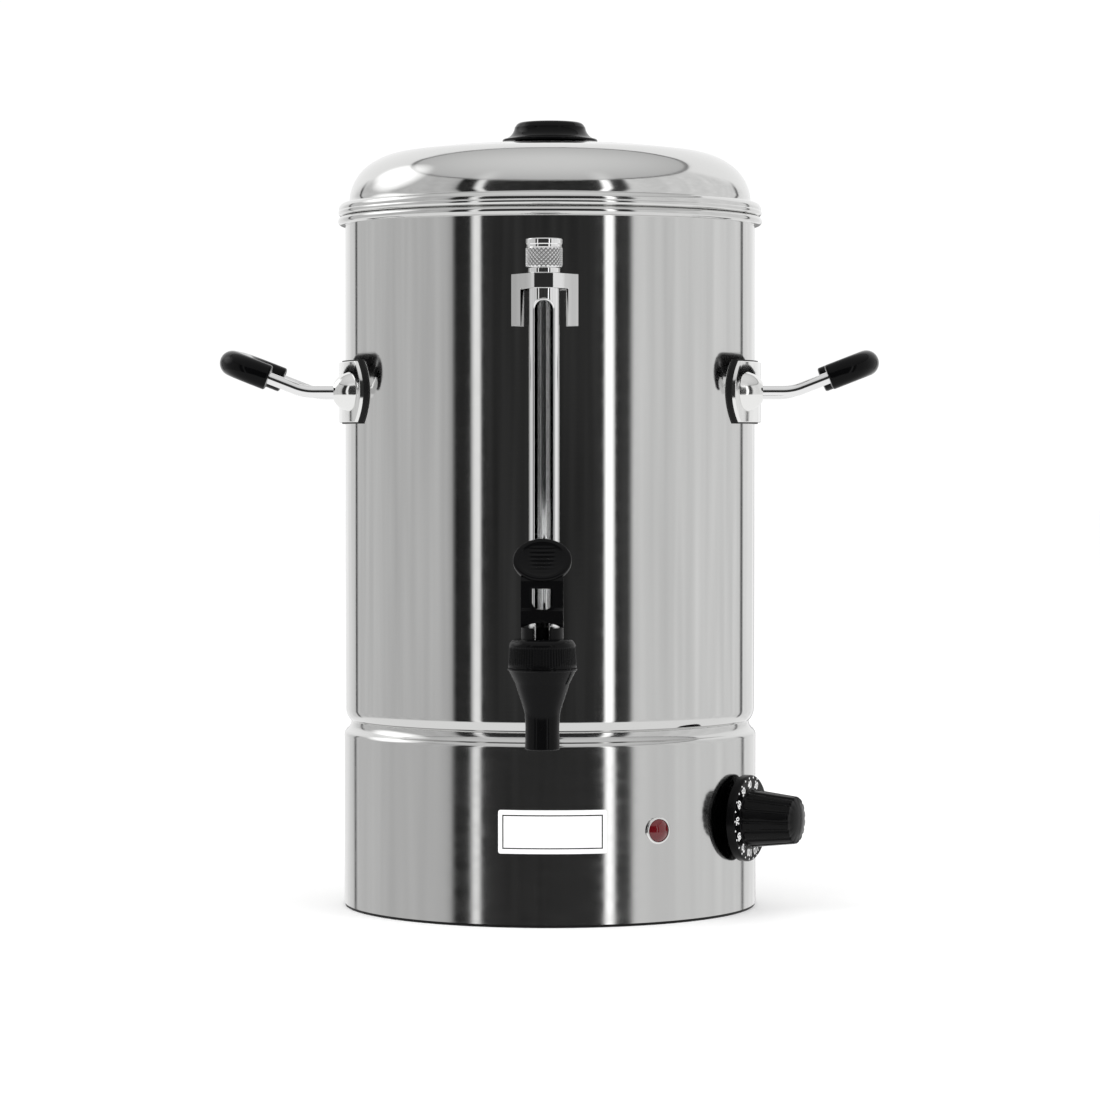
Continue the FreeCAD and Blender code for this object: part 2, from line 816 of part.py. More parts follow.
def make_gauge_cap():
    low = bracket_top_z + neck_nut_h + cap_gap
    top = low + cap_h
    bore_r = neck_thread_r + cap_thread_clear
    roof = neck_top_z + cap_gap + cap_seal_thick + cap_gap
    g = cap_groove_depth
    return gauge_turned([
        (bore_r, low), (cap_r - 0.4, low), (cap_r, low + 0.4), (cap_r, top - 5.0), (cap_r - g, top - 4.5),
        (cap_r - g, top - 3.3), (cap_r - 0.1, top - 2.8), (cap_r - 0.1, top - 0.8), (cap_r - 0.9, top),
        (0, top),
        (0, roof), (bore_r, roof)])


def make_gauge_cap_seal():
    low = neck_top_z + cap_gap
    return moved(ring(0, neck_thread_r - 0.1, low, low + cap_seal_thick), y=gauge_y)


# Tap

def make_tap_body():
    top = flange_z + collar_h
    cone = tap_turned([
        (0, spout_tip_z), (spout_tip_r, spout_tip_z), (spout_tip_r - 0.1, spout_tip_z + 4),
        (spout_tip_r - 0.25, spout_tip_z + 8.6, spout_waist_r, flange_z - spout_waist_drop),
        (spout_waist_r + 1.05, flange_z - 19.5, spout_flare_r, flange_z - spout_flare_drop),
        (spout_flare_r + 1.45, flange_z - 11.9, spout_cup_r, flange_z - spout_cup_drop),
        (flange_r - 0.6, flange_z - 1.3), (flange_r, flange_z), (collar_r, flange_z),
        (collar_r, top), (0, top)])
    shoulder_y = block_front_y - washer_thick
    boss = along_y(Part.makeCylinder(tap_boss_r, shoulder_y - tap_y), tap_y, shank_z)
    boss = boss.common(Part.makeBox(4 * tap_boss_r, 4 * tap_boss_r, flange_z - spout_tip_z,
                                    V(-2 * tap_boss_r, tap_y, spout_tip_z)))
    shank = along_y(Part.makeCylinder(shank_r, shank_inner_y - tap_y), tap_y, shank_z)
    solid = cone.fuse([boss, shank]).removeSplitter()
    chamber = tap_turned([
        (0, spout_tip_z), (spout_bore_r, spout_tip_z), (spout_bore_r, seat_z), (chamber_r, seat_z),
        (chamber_r, top), (0, top)])
    bore = along_y(Part.makeCylinder(shank_bore_r, shank_inner_y - tap_y), tap_y, shank_z)
    cross = Part.makeCylinder(glass_bore_r - 1, shank_r * 2, V(0, gauge_y, shank_z))
    return solid.cut(chamber.fuse([bore, cross]))


def make_tap_washers():
    front = along_y(ring(shank_r, washer_r, 0, washer_thick), block_front_y - washer_thick, shank_z)
    back = ring(shank_r, washer_r, 0, tank_r)
    outer = outside(along_y(back, block_back_y, shank_z), tank_r)
    outer = outer.common(Part.makeBox(4 * washer_r, tank_r, 4 * washer_r,
                                      V(-2 * washer_r, -tank_r * 1.5, shank_z - 2 * washer_r)))
    inner = along_y(ring(shank_r, washer_r, 0, tank_r), inner_washer_y - tank_r, shank_z)
    return group([front, outer, inside_tank(inner)])


def make_tap_shank_nut():
    nut = hexagon(shank_nut_af, shank_nut_h).cut(Part.makeCylinder(shank_r, shank_nut_h))
    return along_y(nut, inner_washer_y, shank_z)


def make_tap_bonnet():
    low = flange_z + bonnet_gap
    neck_top = bonnet_top_z + bonnet_neck_h
    bore = stem_r + stem_clear
    cap = tap_turned([
        (collar_r + 0.05, low), (flange_r - 0.2, low), (bonnet_top_r, bonnet_top_z - 4.5),
        (bonnet_top_r - 1.0, bonnet_top_z - 1.2, bonnet_shoulder_r, bonnet_top_z),
        (bonnet_neck_r, bonnet_top_z),
        (bonnet_neck_r, neck_top), (bore, neck_top), (bore, bonnet_ceiling_z),
        (chamber_r + 1.5, bonnet_ceiling_z),
        (chamber_r + 1.5, flange_z + collar_h + 0.5), (collar_r + 0.05, flange_z + collar_h + 0.5)])
    notch = Part.makeBox(bonnet_notch_w, 4 * bonnet_neck_r, bonnet_neck_h,
                         V(-bonnet_notch_w / 2, -2 * bonnet_neck_r, bonnet_top_z))
    return cap.cut(moved(notch, y=tap_y))


def make_tap_stem():
    low = stem_flange_z - 4
    flange_top = stem_flange_z + stem_flange_h
    stem = tap_turned([
        (0, low), (cup_recess_r, low), (cup_recess_r, stem_flange_z), (stem_flange_r, stem_flange_z),
        (stem_flange_r, flange_top), (stem_r, flange_top), (stem_r, pivot_z + stem_past_pivot),
        (0, pivot_z + stem_past_pivot)])
    hole = along_x(Part.makeCylinder(pivot_pin_r, 99), -49, tap_y, pivot_z)
    return stem.cut(hole)


def make_tap_seat_cup():
    recess_z = stem_flange_z - 4
    return tap_turned([
        (0, seat_z), (cup_r - 0.8, seat_z), (cup_r, seat_z + 0.8), (cup_r, stem_flange_z),
        (cup_recess_r, stem_flange_z), (cup_recess_r, recess_z), (0, recess_z)])


def make_tap_pivot_pin():
    half = pivot_pin_length / 2
    return along_x(Part.makeCylinder(pivot_pin_r, pivot_pin_length), -half, tap_y, pivot_z)


def helix_points(count):
    """Points and tangents on the spring's coil, a quarter turn apart, from the stem's flange up."""
    low = stem_flange_z + stem_flange_h + spring_wire_r
    rise = (bonnet_ceiling_z - spring_wire_r - low) / count
    found = []
    for i in range(count + 1):
        turn = math.pi / 2 * i
        along = V(-math.sin(turn) * spring_r, math.cos(turn) * spring_r, rise / (math.pi / 2))
        point = V(math.cos(turn) * spring_r, math.sin(turn) * spring_r + tap_y, low + rise * i)
        found.append((point, along.normalize()))
    return found


def make_tap_spring():
    """A coil of arc pairs: each pair joins two points of the coil, tangent at both and in between."""
    edges = []
    stations = helix_points(4 * spring_turns)
    for (start, way), (end, way_on) in zip(stations, stations[1:]):
        gap = end - start
        both = way + way_on
        a = both.dot(both) - 4
        b = -2 * gap.dot(both)
        c = gap.dot(gap)
        reach = (-b - math.sqrt(b * b - 4 * a * c)) / (2 * a)
        if reach <= 0:
            reach = (-b + math.sqrt(b * b - 4 * a * c)) / (2 * a)
        first = start + way * reach
        second = end - way_on * reach
        joint = (first + second) * 0.5
        for p, corner, q in ((start, first, joint), (joint, second, end)):
            chord = (p + q) * 0.5
            half = p.distanceToPoint(q) / 2
            side = corner.distanceToPoint(p)
            height = corner.distanceToPoint(chord)
            radius = half * side / height
            sagitta = radius - math.sqrt(radius ** 2 - half ** 2)
            edges.append(Part.Arc(p, chord + (corner - chord).normalize() * sagitta, q).toShape())
    return swept(Part.Wire(edges), spring_wire_r)


def make_tap_lever():
    low = bonnet_top_z + bonnet_neck_h + lever_gap
    half = lever_w / 2
    front = lever_hub_front
    back = lever_hub_back
    nose = lever_nose_chamfer
    top = lever_hub_top_z
    plate_back = lever_plate_thick - lever_plate_front
    hub = outline([
        (-front, low + nose), (-front + nose, low), (back - nose, low), (back, low + nose),
        (back, top - 1.5),
        (back - 1.5, top), (-front, top)])
    shank = outline([
        (-front, top), (-lever_plate_front, top + 1.5), (-lever_plate_front, pad_z - pad_h / 2 + 5),
        (plate_back, pad_z - pad_h / 2 + 5), (plate_back, top - 1)])

    def cross(face):
        """A face in the lever's side view, carried across its width about the tap's axis."""
        bar = face.extrude(V(0, lever_w, 0))
        bar.rotate(V(0, 0, 0), V(0, 0, 1), 90)
        bar.translate(V(half, tap_y, 0))
        return bar

    body = cross(hub).fuse(cross(shank))
    pad = Part.Ellipse(V(0, 0, 0), pad_w / 2, pad_h / 2).toShape()
    pad = Part.Face(Part.Wire(pad)).extrude(V(0, 0, pad_thick))
    pad = pad.makeFillet(pad_thick * 0.3, pad.Edges)
    dish_r = ((pad_h / 2 - 2.5) ** 2 + pad_dish_depth ** 2) / (2 * pad_dish_depth)
    pad = pad.cut(Part.makeSphere(dish_r, V(0, 0, pad_thick - pad_dish_depth + dish_r)))
    pad.rotate(V(0, 0, 0), V(1, 0, 0), 90 - pad_lean_deg)
    pad.translate(V(0, tap_y - pad_back + pad_thick / 2, pad_z))
    body = body.fuse(pad).removeSplitter()
    slot_half = stem_r + lever_slot_clear
    reach = pivot_z + stem_past_pivot + 1.8
    slot = Part.makeBox(2 * slot_half, front - lever_front_wall + slot_half + 0.8, reach - low,
                        V(-slot_half, tap_y - front + lever_front_wall, low))
    pin_hole = along_x(Part.makeCylinder(pivot_pin_r + pivot_clear, lever_w * 2), -lever_w, tap_y, pivot_z)
    arch = along_y(Part.makeCylinder(lever_arch_r, 99), tap_y - 49, low + lever_arch_h - lever_arch_r)
    w = lever_window_w / 2
    window = outline([
        (-w, lever_window_top_z), (-w, lever_window_bottom_z + w * 0.6),
        (0, lever_window_bottom_z - 0.6, w, lever_window_bottom_z + w * 0.6), (w, lever_window_top_z)])
    window = moved(window.extrude(V(0, 99, 0)), y=tap_y - 49)
    return body.cut(group([slot])).cut(pin_hole).cut(arch).cut(window)


# Thermostat

def thermostat_screw_bars(radius, start, end):
    """Bars along the knob's axis where its two fixing screws lie, above and below the shaft."""
    return [radial(Part.makeCylinder(radius, end - start, V(0, side * thermostat_screw_offset, start)),
                   knob_azimuth, knob_z) for side in (-1, 1)]


def make_thermostat_body():
    near = thermostat_face - thermostat_depth
    box = Part.makeBox(thermostat_w, thermostat_h, thermostat_depth,
                       V(-thermostat_w / 2, -thermostat_h / 2, near))
    box = box.makeFillet(1.5, [e for e in box.Edges if abs(e.tangentAt(0).z) > 0.9])
    bore = Part.makeCylinder(knob_shaft_r + shaft_clear, shaft_in, V(0, 0, thermostat_face - shaft_in))
    solid = radial(box.cut(bore), knob_azimuth, knob_z)
    reach = thermostat_face - thermostat_screw_reach
    return solid.cut(group(thermostat_screw_bars(screw_m4_r, reach, thermostat_face)))


def make_thermostat_spacer():
    disc = Part.makeCylinder(spacer_r, skirt_r - thermostat_face, V(0, 0, thermostat_face))
    disc = radial(disc, knob_azimuth, knob_z)
    disc = disc.common(Part.makeCylinder(skirt_in_r, rim_top_z))
    bore = radial(Part.makeCylinder(knob_shaft_r + sheet, skirt_r), knob_azimuth, knob_z)
    return disc.cut(group([bore] + thermostat_screw_bars(screw_m4_r + screw_clear, 0, skirt_r)))


def make_thermostat_screws():
    shank = thermostat_screw_bars(screw_m4_r, thermostat_face - thermostat_screw_reach, skirt_r)
    heads = thermostat_screw_bars(screw_m4_head_r - 0.3, skirt_r, skirt_r + screw_m4_head_h)
    return group([a.fuse(b) for a, b in zip(shank, heads)])


dial_back = skirt_r + knob_stand_off
grip_end = dial_back + dial_thick + grip_length


def make_thermostat_knob():
    dial_front = dial_back + dial_thick
    body = turned([
        (0, dial_back), (dial_r, dial_back), (dial_r, dial_front - 1.6), (dial_r - 1.6, dial_front),
        (grip_r + 0.8, dial_front),
        (grip_r, dial_front + 0.8), (grip_end_r, grip_end - 1.2), (grip_end_r - 1.2, grip_end),
        dome(grip_end_r - 1.2, grip_end, grip_dome)])
    lean = math.degrees(math.atan2(grip_r - grip_end_r, grip_length))
    flute = Part.makeCylinder(flute_r, grip_length * 2)
    flute.rotate(V(0, 0, 0), V(0, 1, 0), -lean)
    flute.translate(V(grip_r + flute_r * 0.45, 0, dial_front + 1.0))
    flutes = [spun(flute, 360 / flute_count * i) for i in range(flute_count)]
    bore = Part.makeCylinder(knob_shaft_r, knob_shaft_depth, V(0, 0, dial_back))
    return radial(body.cut(group(flutes)).cut(bore), knob_azimuth, knob_z)


def make_thermostat_shaft():
    low = thermostat_face - shaft_in + 0.5
    shaft = Part.makeCylinder(knob_shaft_r, dial_back + knob_shaft_depth - low, V(0, 0, low))
    return radial(shaft, knob_azimuth, knob_z)


def make_thermostat_pocket():
    low = lip_top_z - pocket_drop
    top = lip_top_z + pocket_rise
    return moved(turned([
        (pocket_bore_r, low), (pocket_r, low), (pocket_r, top - 1.5), (pocket_r - 1.5, top), (0, top),
        (0, top - 1.5), (pocket_bore_r, top - 1.5)]), pocket_x, pocket_y)


def make_thermostat_probe():
    low = lip_top_z - pocket_drop + 2.0
    bulb = moved(Part.makeCylinder(probe_r, probe_length, V(0, 0, low)), pocket_x, pocket_y)
    turn = math.radians(knob_azimuth)
    back = thermostat_face - thermostat_depth - capillary_r / 2
    end = V(back * math.sin(turn), -back * math.cos(turn), low - capillary_drop)
    points = [V(pocket_x, pocket_y, low), V(pocket_x, pocket_y, low - capillary_drop), end]
    path = rounded_path(points, [capillary_bend_r])
    return bulb.fuse(swept(path, capillary_r))


# Pilot lamp and label

def make_pilot_bezel():
    flange = ring(lamp_body_r, bezel_r, lamp_root, skirt_r + bezel_thick)
    return outside(radial(flange, lamp_azimuth, lamp_z), skirt_r)


lamp_root = skirt_r - 4.0


def make_pilot_lens():
    base = skirt_r + bezel_thick
    return radial(turned([
        (0, base), (lens_r, base), (lens_r, base + lens_edge),
        dome(lens_r, base + lens_edge, lens_height - lens_edge)]),
        lamp_azimuth, lamp_z)


def make_pilot_body():
    base = skirt_r + bezel_thick
    low = base - lamp_body_length
    return radial(turned([
        (0, low), (lamp_body_r - 1.0, low), (lamp_body_r, low + 1.0), (lamp_body_r, base), (0, base)]),
        lamp_azimuth, lamp_z)


def make_pilot_nut():
    start = skirt_in_r - lamp_nut_h - 1.0
    flat = radial(ring(lamp_body_r, lamp_nut_r, start, skirt_r), lamp_azimuth, lamp_z)
    return flat.common(Part.makeCylinder(skirt_in_r, rim_top_z))


def make_label_plate():
    band = ring(skirt_r + label_glue, skirt_r + label_thick, label_z - label_h / 2, label_z + label_h / 2)
    cutter = Part.makeBox(label_w, skirt_r * 2, rim_top_z, V(-label_w / 2, -skirt_r * 2, 0))
    return spun(band.common(cutter), label_azimuth)


# Heating element

def element_ends():
    """The loop's two open ends and the way each one leaves towards the gap."""
    turn = math.radians(element_gap_deg)
    for side in (-1, 1):
        point = V(side * element_loop_r * math.sin(turn), element_loop_r * math.cos(turn), element_z)
        yield point, V(-side * math.cos(turn), math.sin(turn), 0)


def element_legs():
    """Where the element's two legs pass through the tank's floor."""
    return [(p.x + way.x * element_bend_r, p.y + way.y * element_bend_r) for p, way in element_ends()]


def make_heating_element():
    (left, left_way), (right, right_way) = element_ends()
    down = V(0, 0, -1)
    slant = math.sqrt(0.5)

    def leg(point, way):
        """The bend from the loop's end down into a leg, and the leg."""
        foot = point + way * element_bend_r + down * element_bend_r
        centre = point + down * element_bend_r
        mid = centre + (way - down) * (element_bend_r * slant)
        end = V(foot.x, foot.y, element_end_z)
        return Part.Arc(point, mid, foot).toShape(), Part.LineSegment(foot, end).toShape()

    left_bend, left_leg = leg(left, left_way)
    right_bend, right_leg = leg(right, right_way)
    front = V(0, -element_loop_r, element_z)
    side = element_loop_r * math.sin(math.radians(100))
    drop = element_loop_r * math.cos(math.radians(100))
    loop = [Part.Arc(left, V(-side, drop, element_z), front).toShape(),
            Part.Arc(front, V(side, drop, element_z), right).toShape()]
    wire = Part.Wire([left_leg, left_bend] + loop + [right_bend, right_leg])
    return swept(wire, element_r)


def make_heater_seals():
    seal = ring(element_r, seal_r, lip_top_z - seal_thick, lip_top_z)
    return group([moved(seal, x, y) for x, y in element_legs()])


def make_heater_nuts():
    nut = hexagon(element_nut_af, element_nut_h).cut(Part.makeCylinder(element_r, element_nut_h))
    return group([moved(nut, x, y, lip_top_z - seal_thick - element_nut_h) for x, y in element_legs()])


# Cut-out, gland and terminals at the back

def make_overheat_cutout():
    low = skirt_in_r - 3.0 - cutout_length
    shoulder = skirt_in_r - 3.0
    tip = skirt_r + cutout_neck_out
    body = turned([
        (0, low), (cutout_r - 1, low), (cutout_r, low + 1), (cutout_r, shoulder), (cutout_neck_r, shoulder),
        (cutout_neck_r, tip), (button_r + button_clear, tip), (button_r + button_clear, tip - button_depth),
        (0, tip - button_depth)])
    return radial(body, cutout_azimuth, rear_z)


def make_cutout_washer():
    flat = radial(ring(cutout_neck_r, cutout_r - 1, skirt_in_r - 3.0, skirt_r), cutout_azimuth, rear_z)
    return flat.common(Part.makeCylinder(skirt_in_r, rim_top_z))


def make_cutout_nut():
    flat = radial(ring(cutout_neck_r, cutout_nut_r, skirt_in_r, skirt_r + cutout_nut_h), cutout_azimuth, rear_z)
    return outside(flat, skirt_r)


def make_reset_button():
    tip = skirt_r + cutout_neck_out
    floor = tip - button_depth + button_travel + 0.5
    return radial(turned([
        (0, floor), (button_r, floor), (button_r, tip + button_proud - 0.5),
        (button_r - 0.5, tip + button_proud), (0, tip + button_proud)]),
        cutout_azimuth, rear_z)


def make_cable_gland():
    face = skirt_r + gland_flange
    tip = face + gland_dome_length
    low = skirt_in_r - gland_inside
    body = turned([
        (gland_bore_r, low), (gland_thread_r, low), (gland_thread_r, skirt_in_r - 1), (gland_r, skirt_in_r - 1),
        (gland_r, face),
        (gland_dome_r, face), (gland_dome_r, tip - 6),
        (gland_dome_r - 0.8, tip - 2.0, gland_dome_r - 2.6, tip),
        (gland_bore_r, tip)])
    solid = radial(body, 180, rear_z)
    inner_part = solid.common(radial(Part.makeCylinder(gland_thread_r, tip), 180, rear_z))
    return outside(solid, skirt_r).fuse(inner_part).removeSplitter()


def make_gland_locknut():
    nut = hexagon(gland_nut_af, skirt_r).cut(Part.makeCylinder(gland_thread_r, skirt_r))
    nut = nut.common(Part.makeCylinder(gland_nut_af, skirt_r, V(0, 0, skirt_in_r - gland_nut_h)))
    return radial(nut, 180, rear_z).common(Part.makeCylinder(skirt_in_r, rim_top_z))


def make_terminal_block():
    low = plate_z + plate_thick
    block = Part.makeBox(terminal_w, terminal_d, terminal_h, V(-terminal_w / 2, terminal_y, low))
    pitch = terminal_w / terminal_ways
    bores = []
    for i in range(terminal_ways):
        x = -terminal_w / 2 + pitch * (i + 0.5)
        start = V(x, terminal_y - 1, low + terminal_h * 0.35)
        bores.append(Part.makeCylinder(terminal_hole_r, terminal_d * 2, start, V(0, 1, 0)))
        start = V(x, terminal_y + terminal_d / 2, low + terminal_h * 0.6)
        bores.append(Part.makeCylinder(terminal_hole_r, terminal_h, start))
    return block.cut(group(bores[:1]).fuse(bores[1:]))


def handle_pieces(make):
    """The right handle's piece and its twin on the left."""
    right = make()
    return {"right": right, "left": spun(right, 180)}


nodes = {
    "tank_shell": make_tank_shell(),
    "tank_floor": make_tank_floor(),
    "base_skirt": make_base_skirt(),
    "base_plate": make_base_plate(),
    "base_plate_screws": make_base_plate_screws(),
    "skirt_lugs": make_skirt_lugs(),
    "foot_ring": make_foot_ring(),
    "lid": make_lid(),
    "lid_knob": make_lid_knob(),
    "lid_knob_washer": make_lid_knob_washer(),
    "lid_knob_screw": make_lid_knob_screw(),
    "gauge_block": make_gauge_block(),
    "gauge_seals": make_gauge_seals(),
    "gauge_glass": make_gauge_glass(),
    "gauge_shield": make_gauge_shield(),
    "gauge_neck": make_gauge_neck(),
    "gauge_neck_nut": make_gauge_neck_nut(),
    "gauge_bracket": make_gauge_bracket(),
    "gauge_cap": make_gauge_cap(),
    "gauge_cap_seal": make_gauge_cap_seal(),
    "tap_body": make_tap_body(),
    "tap_washers": make_tap_washers(),
    "tap_shank_nut": make_tap_shank_nut(),
    "tap_bonnet": make_tap_bonnet(),
    "tap_stem": make_tap_stem(),
    "tap_seat_cup": make_tap_seat_cup(),
    "tap_pivot_pin": make_tap_pivot_pin(),
    "tap_spring": make_tap_spring(),
    "tap_lever": make_tap_lever(),
    "thermostat_body": make_thermostat_body(),
    "thermostat_spacer": make_thermostat_spacer(),
    "thermostat_screws": make_thermostat_screws(),
    "thermostat_knob": make_thermostat_knob(),
    "thermostat_shaft": make_thermostat_shaft(),
    "thermostat_pocket": make_thermostat_pocket(),
    "thermostat_probe": make_thermostat_probe(),
    "pilot_bezel": make_pilot_bezel(),
    "pilot_lens": make_pilot_lens(),
    "pilot_body": make_pilot_body(),
    "pilot_nut": make_pilot_nut(),
    "label_plate": make_label_plate(),
    "heating_element": make_heating_element(),
    "heater_seals": make_heater_seals(),
    "heater_nuts": make_heater_nuts(),
    "overheat_cutout": make_overheat_cutout(),
    "cutout_washer": make_cutout_washer(),
    "cutout_nut": make_cutout_nut(),
    "reset_button": make_reset_button(),
    "cable_gland": make_cable_gland(),
    "gland_locknut": make_gland_locknut(),
    "terminal_block": make_terminal_block(),
}
for piece, make in (("plate", make_handle_plate), ("gasket", make_handle_gasket), ("rod", make_handle_rod),
                    ("grip", make_handle_grip)):
    for side, shape in handle_pieces(make).items():
        nodes["handle_%s_%s" % (piece, side)] = shape
nodes["handle_nuts"] = group([s for shape in handle_pieces(make_handle_nuts).values() for s in shape.Solids])

os.makedirs("parts", exist_ok=True)
for name, shape in nodes.items():
    shape.exportStep("parts/%s.step" % name)
    print("%-20s solids %d valid %s volume %.0f" % (name, len(shape.Solids), shape.isValid(), shape.Volume))
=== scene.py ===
"""The hot water urn, dressed over its solids: polished steel, black mouldings, chrome and glass.

Sizes are millimetres until a mesh is made, in the frame of the solids: the tank's axis is Z and the
tap faces -Y. In an outline a point (r, z) is reached by a straight line, and a point
(mid r, mid z, r, z) by an arc through its first pair.
"""
import bmesh
import bpy
import json
import math
import numpy as np
from mathutils import Matrix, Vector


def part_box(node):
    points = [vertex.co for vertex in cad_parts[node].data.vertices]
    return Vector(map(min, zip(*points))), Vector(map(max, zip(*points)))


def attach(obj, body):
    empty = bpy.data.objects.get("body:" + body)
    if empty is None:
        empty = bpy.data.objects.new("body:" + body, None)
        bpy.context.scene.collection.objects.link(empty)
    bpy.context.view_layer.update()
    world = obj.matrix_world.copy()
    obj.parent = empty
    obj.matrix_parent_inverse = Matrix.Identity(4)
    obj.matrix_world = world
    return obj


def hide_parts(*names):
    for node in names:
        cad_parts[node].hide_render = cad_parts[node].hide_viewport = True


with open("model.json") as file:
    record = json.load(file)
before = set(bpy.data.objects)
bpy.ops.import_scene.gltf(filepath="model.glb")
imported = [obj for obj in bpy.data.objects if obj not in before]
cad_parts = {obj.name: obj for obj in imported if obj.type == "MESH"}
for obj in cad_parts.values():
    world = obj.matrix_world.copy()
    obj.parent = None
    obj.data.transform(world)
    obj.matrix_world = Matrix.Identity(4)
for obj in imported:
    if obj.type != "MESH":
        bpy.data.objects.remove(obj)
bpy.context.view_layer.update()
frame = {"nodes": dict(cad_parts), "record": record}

MM = 0.001
TURN = 2 * np.pi

# Tank and base
tank_r = 114.5
sheet = 1.0
neck_r = 111.5
neck_curl_z = 110.6
lip_z = 103.3
lip_reach = 7.5
rim_top_z = 385.0
rim_bead_r = 2.5
skirt_r = 115.4
skirt_bottom_z = 1.5
shoulder_z = 95.2
foot_in_r = 104.0
foot_out_r = 115.1
foot_collar_z = 7.5

# Holes in the tank and the base, and the fittings at the back
shank_hole_r = 7.8
hole_clear = 0.2
shaft_hole_r = 4.0
knob_screw_hole_r = 2.1
knob_screw_offset = 14.0
lamp_hole_r = 5.2
cutout_hole_r = 6.2
cutout_azimuth = 155.0
gland_hole_r = 8.2
gland_azimuth = 180.0
rear_z = 30.0

# Lid
lid_seat_z = 385.3
lid_side_r = 112.2
lid_side_top_z = 393.0
lid_bead_r = 118.0
lid_bead_h = 7.1
lid_plug_depth = 8.0
lid_shoulder_r = 25.4
lid_shoulder_turn = math.radians(53.8)
lid_haunch_r = 38.3
lid_crown_r = 613.5
lid_sheet = 0.9
lid_screw_r = 2.1
knob_rim_r = 26.6
knob_top_r = 15.3
knob_foot_r = 20.0

# Side handles
handle_z = 287.0
handle_leg_y = 43.0
gasket_out_r = 116.5
plate_out_r = 118.0
plate_half_h = 16.75
plate_corner_y = 52.0
plate_end_y = 58.5
gasket_margin = 0.8
boss_r = 10.8
boss_top_r = 5.0
boss_reach = 8.0
rod_r = 3.25
rod_start_x = 93.0
bar_x = 175.5
bar_rise = 16.0
slope = math.radians(21.3)
knee_r = 28.0
corner_r = 16.0
grip_r = 7.1
grip_sleeve = 23.0
grip_end_round = 1.2

# Sight gauge
gauge_y = -127.5
shield_r = 8.2
shield_wall = 0.8
slot_width = 11.2
slot_low_z = 160.0
slot_high_z = 334.8
slot_lip_r = 0.62
glass_in_r = 4.0
glass_out_r = 5.5
cap_r = 9.85
cap_bore_r = 7.8
cap_roof = 4.0
knurl_diamonds = 26
knurl_slant = 1.4
knurl_depth = 0.5

# Tap
tap_y = -162.5
shank_z = 133.0
boss_out_r = 12.0
washer_y = -141.0
flange_r = 18.1
flange_z = 141.7
collar_r = 15.2
bonnet_low_z = 142.0
bonnet_top_r = 17.2
bonnet_top_z = 157.0
bonnet_neck_r = 11.0
bonnet_neck_top_z = 163.0
bonnet_notch_w = 7.8
bonnet_ribs = 72
lever_w = 22.0
lever_low_z = 163.35
lever_hub_top_z = 172.0
pivot_z = 167.0
lever_slot_half = 3.9
lever_arch_r = 20.0
window_half = 5.2
window_low_z = 172.6
window_high_z = 183.4
pad_w = 30.6
pad_h = 24.5
pad_thick = 4.4
pad_z = 196.7
pad_back = 0.6
pad_lean = math.radians(28)
pad_dish = 1.5

# Thermostat knob, pilot lamp and label, placed by their azimuth from the front towards +X
knob_azimuth = 65.0
knob_z = 53.0
dial_back = 118.4
dial_r = 23.75
dial_thick = 5.0
knob_grip_r = 15.9
knob_end_r = 13.0
knob_grip_length = 27.0
knob_dome = 2.0
knob_end_round = 1.2
flute_count = 16
flute_r = 1.3
number_step = 27.5
number_start = -20.0
number_ring_r = 18.6
dot_ring_r = 22.3
dot_r = 0.55
figure_size = 5.4
figure_narrow = 0.82
figure_thick = 0.06
lamp_azimuth = 31.5
lamp_z = 50.8
lens_r = 6.2
lens_step = 0.8
lens_rise = 2.6
bezel_r = 7.3
bezel_h = 1.2
label_azimuth = 2.1
label_z = 51.4
label_w = 58.5
label_h = 23.4
label_gap = 0.1
label_thick = 0.5
label_edge = 0.2
label_corner = 1.2
label_line_from_end = 2.6
label_line_from_top = 2.9
label_half_line = 0.34


# Outlines and paths

def line_run(start, end, step):
    """Points after start up to end: one close to each end, and more where the run is longer than a step."""
    length = float(np.linalg.norm(end - start))
    if length < 1.5:
        return end[None]
    count = int(np.ceil(length / step)) if step else 1
    places = np.concatenate([[0.3, length - 0.3], np.linspace(0, length, count + 1)[1:]])
    places = np.unique(np.round(places, 4))
    return start + (end - start) * places[:, None] / length


def arc_run(start, middle, end):
    """Points after start on the circle through three points, one each 4 degrees."""
    ax, az = start
    bx, bz = middle
    cx, cz = end
    d = 2 * (ax * (bz - cz) + bx * (cz - az) + cx * (az - bz))
    a2, b2, c2 = ax * ax + az * az, bx * bx + bz * bz, cx * cx + cz * cz
    centre = np.array([(a2 * (bz - cz) + b2 * (cz - az) + c2 * (az - bz)) / d,
                       (a2 * (cx - bx) + b2 * (ax - cx) + c2 * (bx - ax)) / d])
    radius = np.linalg.norm(start - centre)
    first, mid, last = (math.atan2(*(p - centre)[::-1]) for p in (start, middle, end))
    sweep = (last - first) % TURN
    if (mid - first) % TURN > sweep:
        sweep -= TURN
    count = max(4, int(np.ceil(abs(sweep) / math.radians(4))))
    angle = first + sweep * np.arange(1, count + 1) / count
    return centre + radius * np.stack([np.cos(angle), np.sin(angle)], axis=1)


def trace(outline, closed=True, step=None):
    """An outline as an array of points."""
    runs = list(outline[1:]) + ([outline[0][:2]] if closed else [])
    at = np.array(outline[0][:2], float)
    found = [at[None]]
    for run in runs:
        end = np.array(run[-2:], float)
        if len(run) == 4:
            found.append(arc_run(at, np.array(run[:2], float), end))
        elif np.linalg.norm(end - at) > 1e-6:
            found.append(line_run(at, end, step))
        at = end
    points = np.concatenate(found)
    return points[:-1] if closed else points


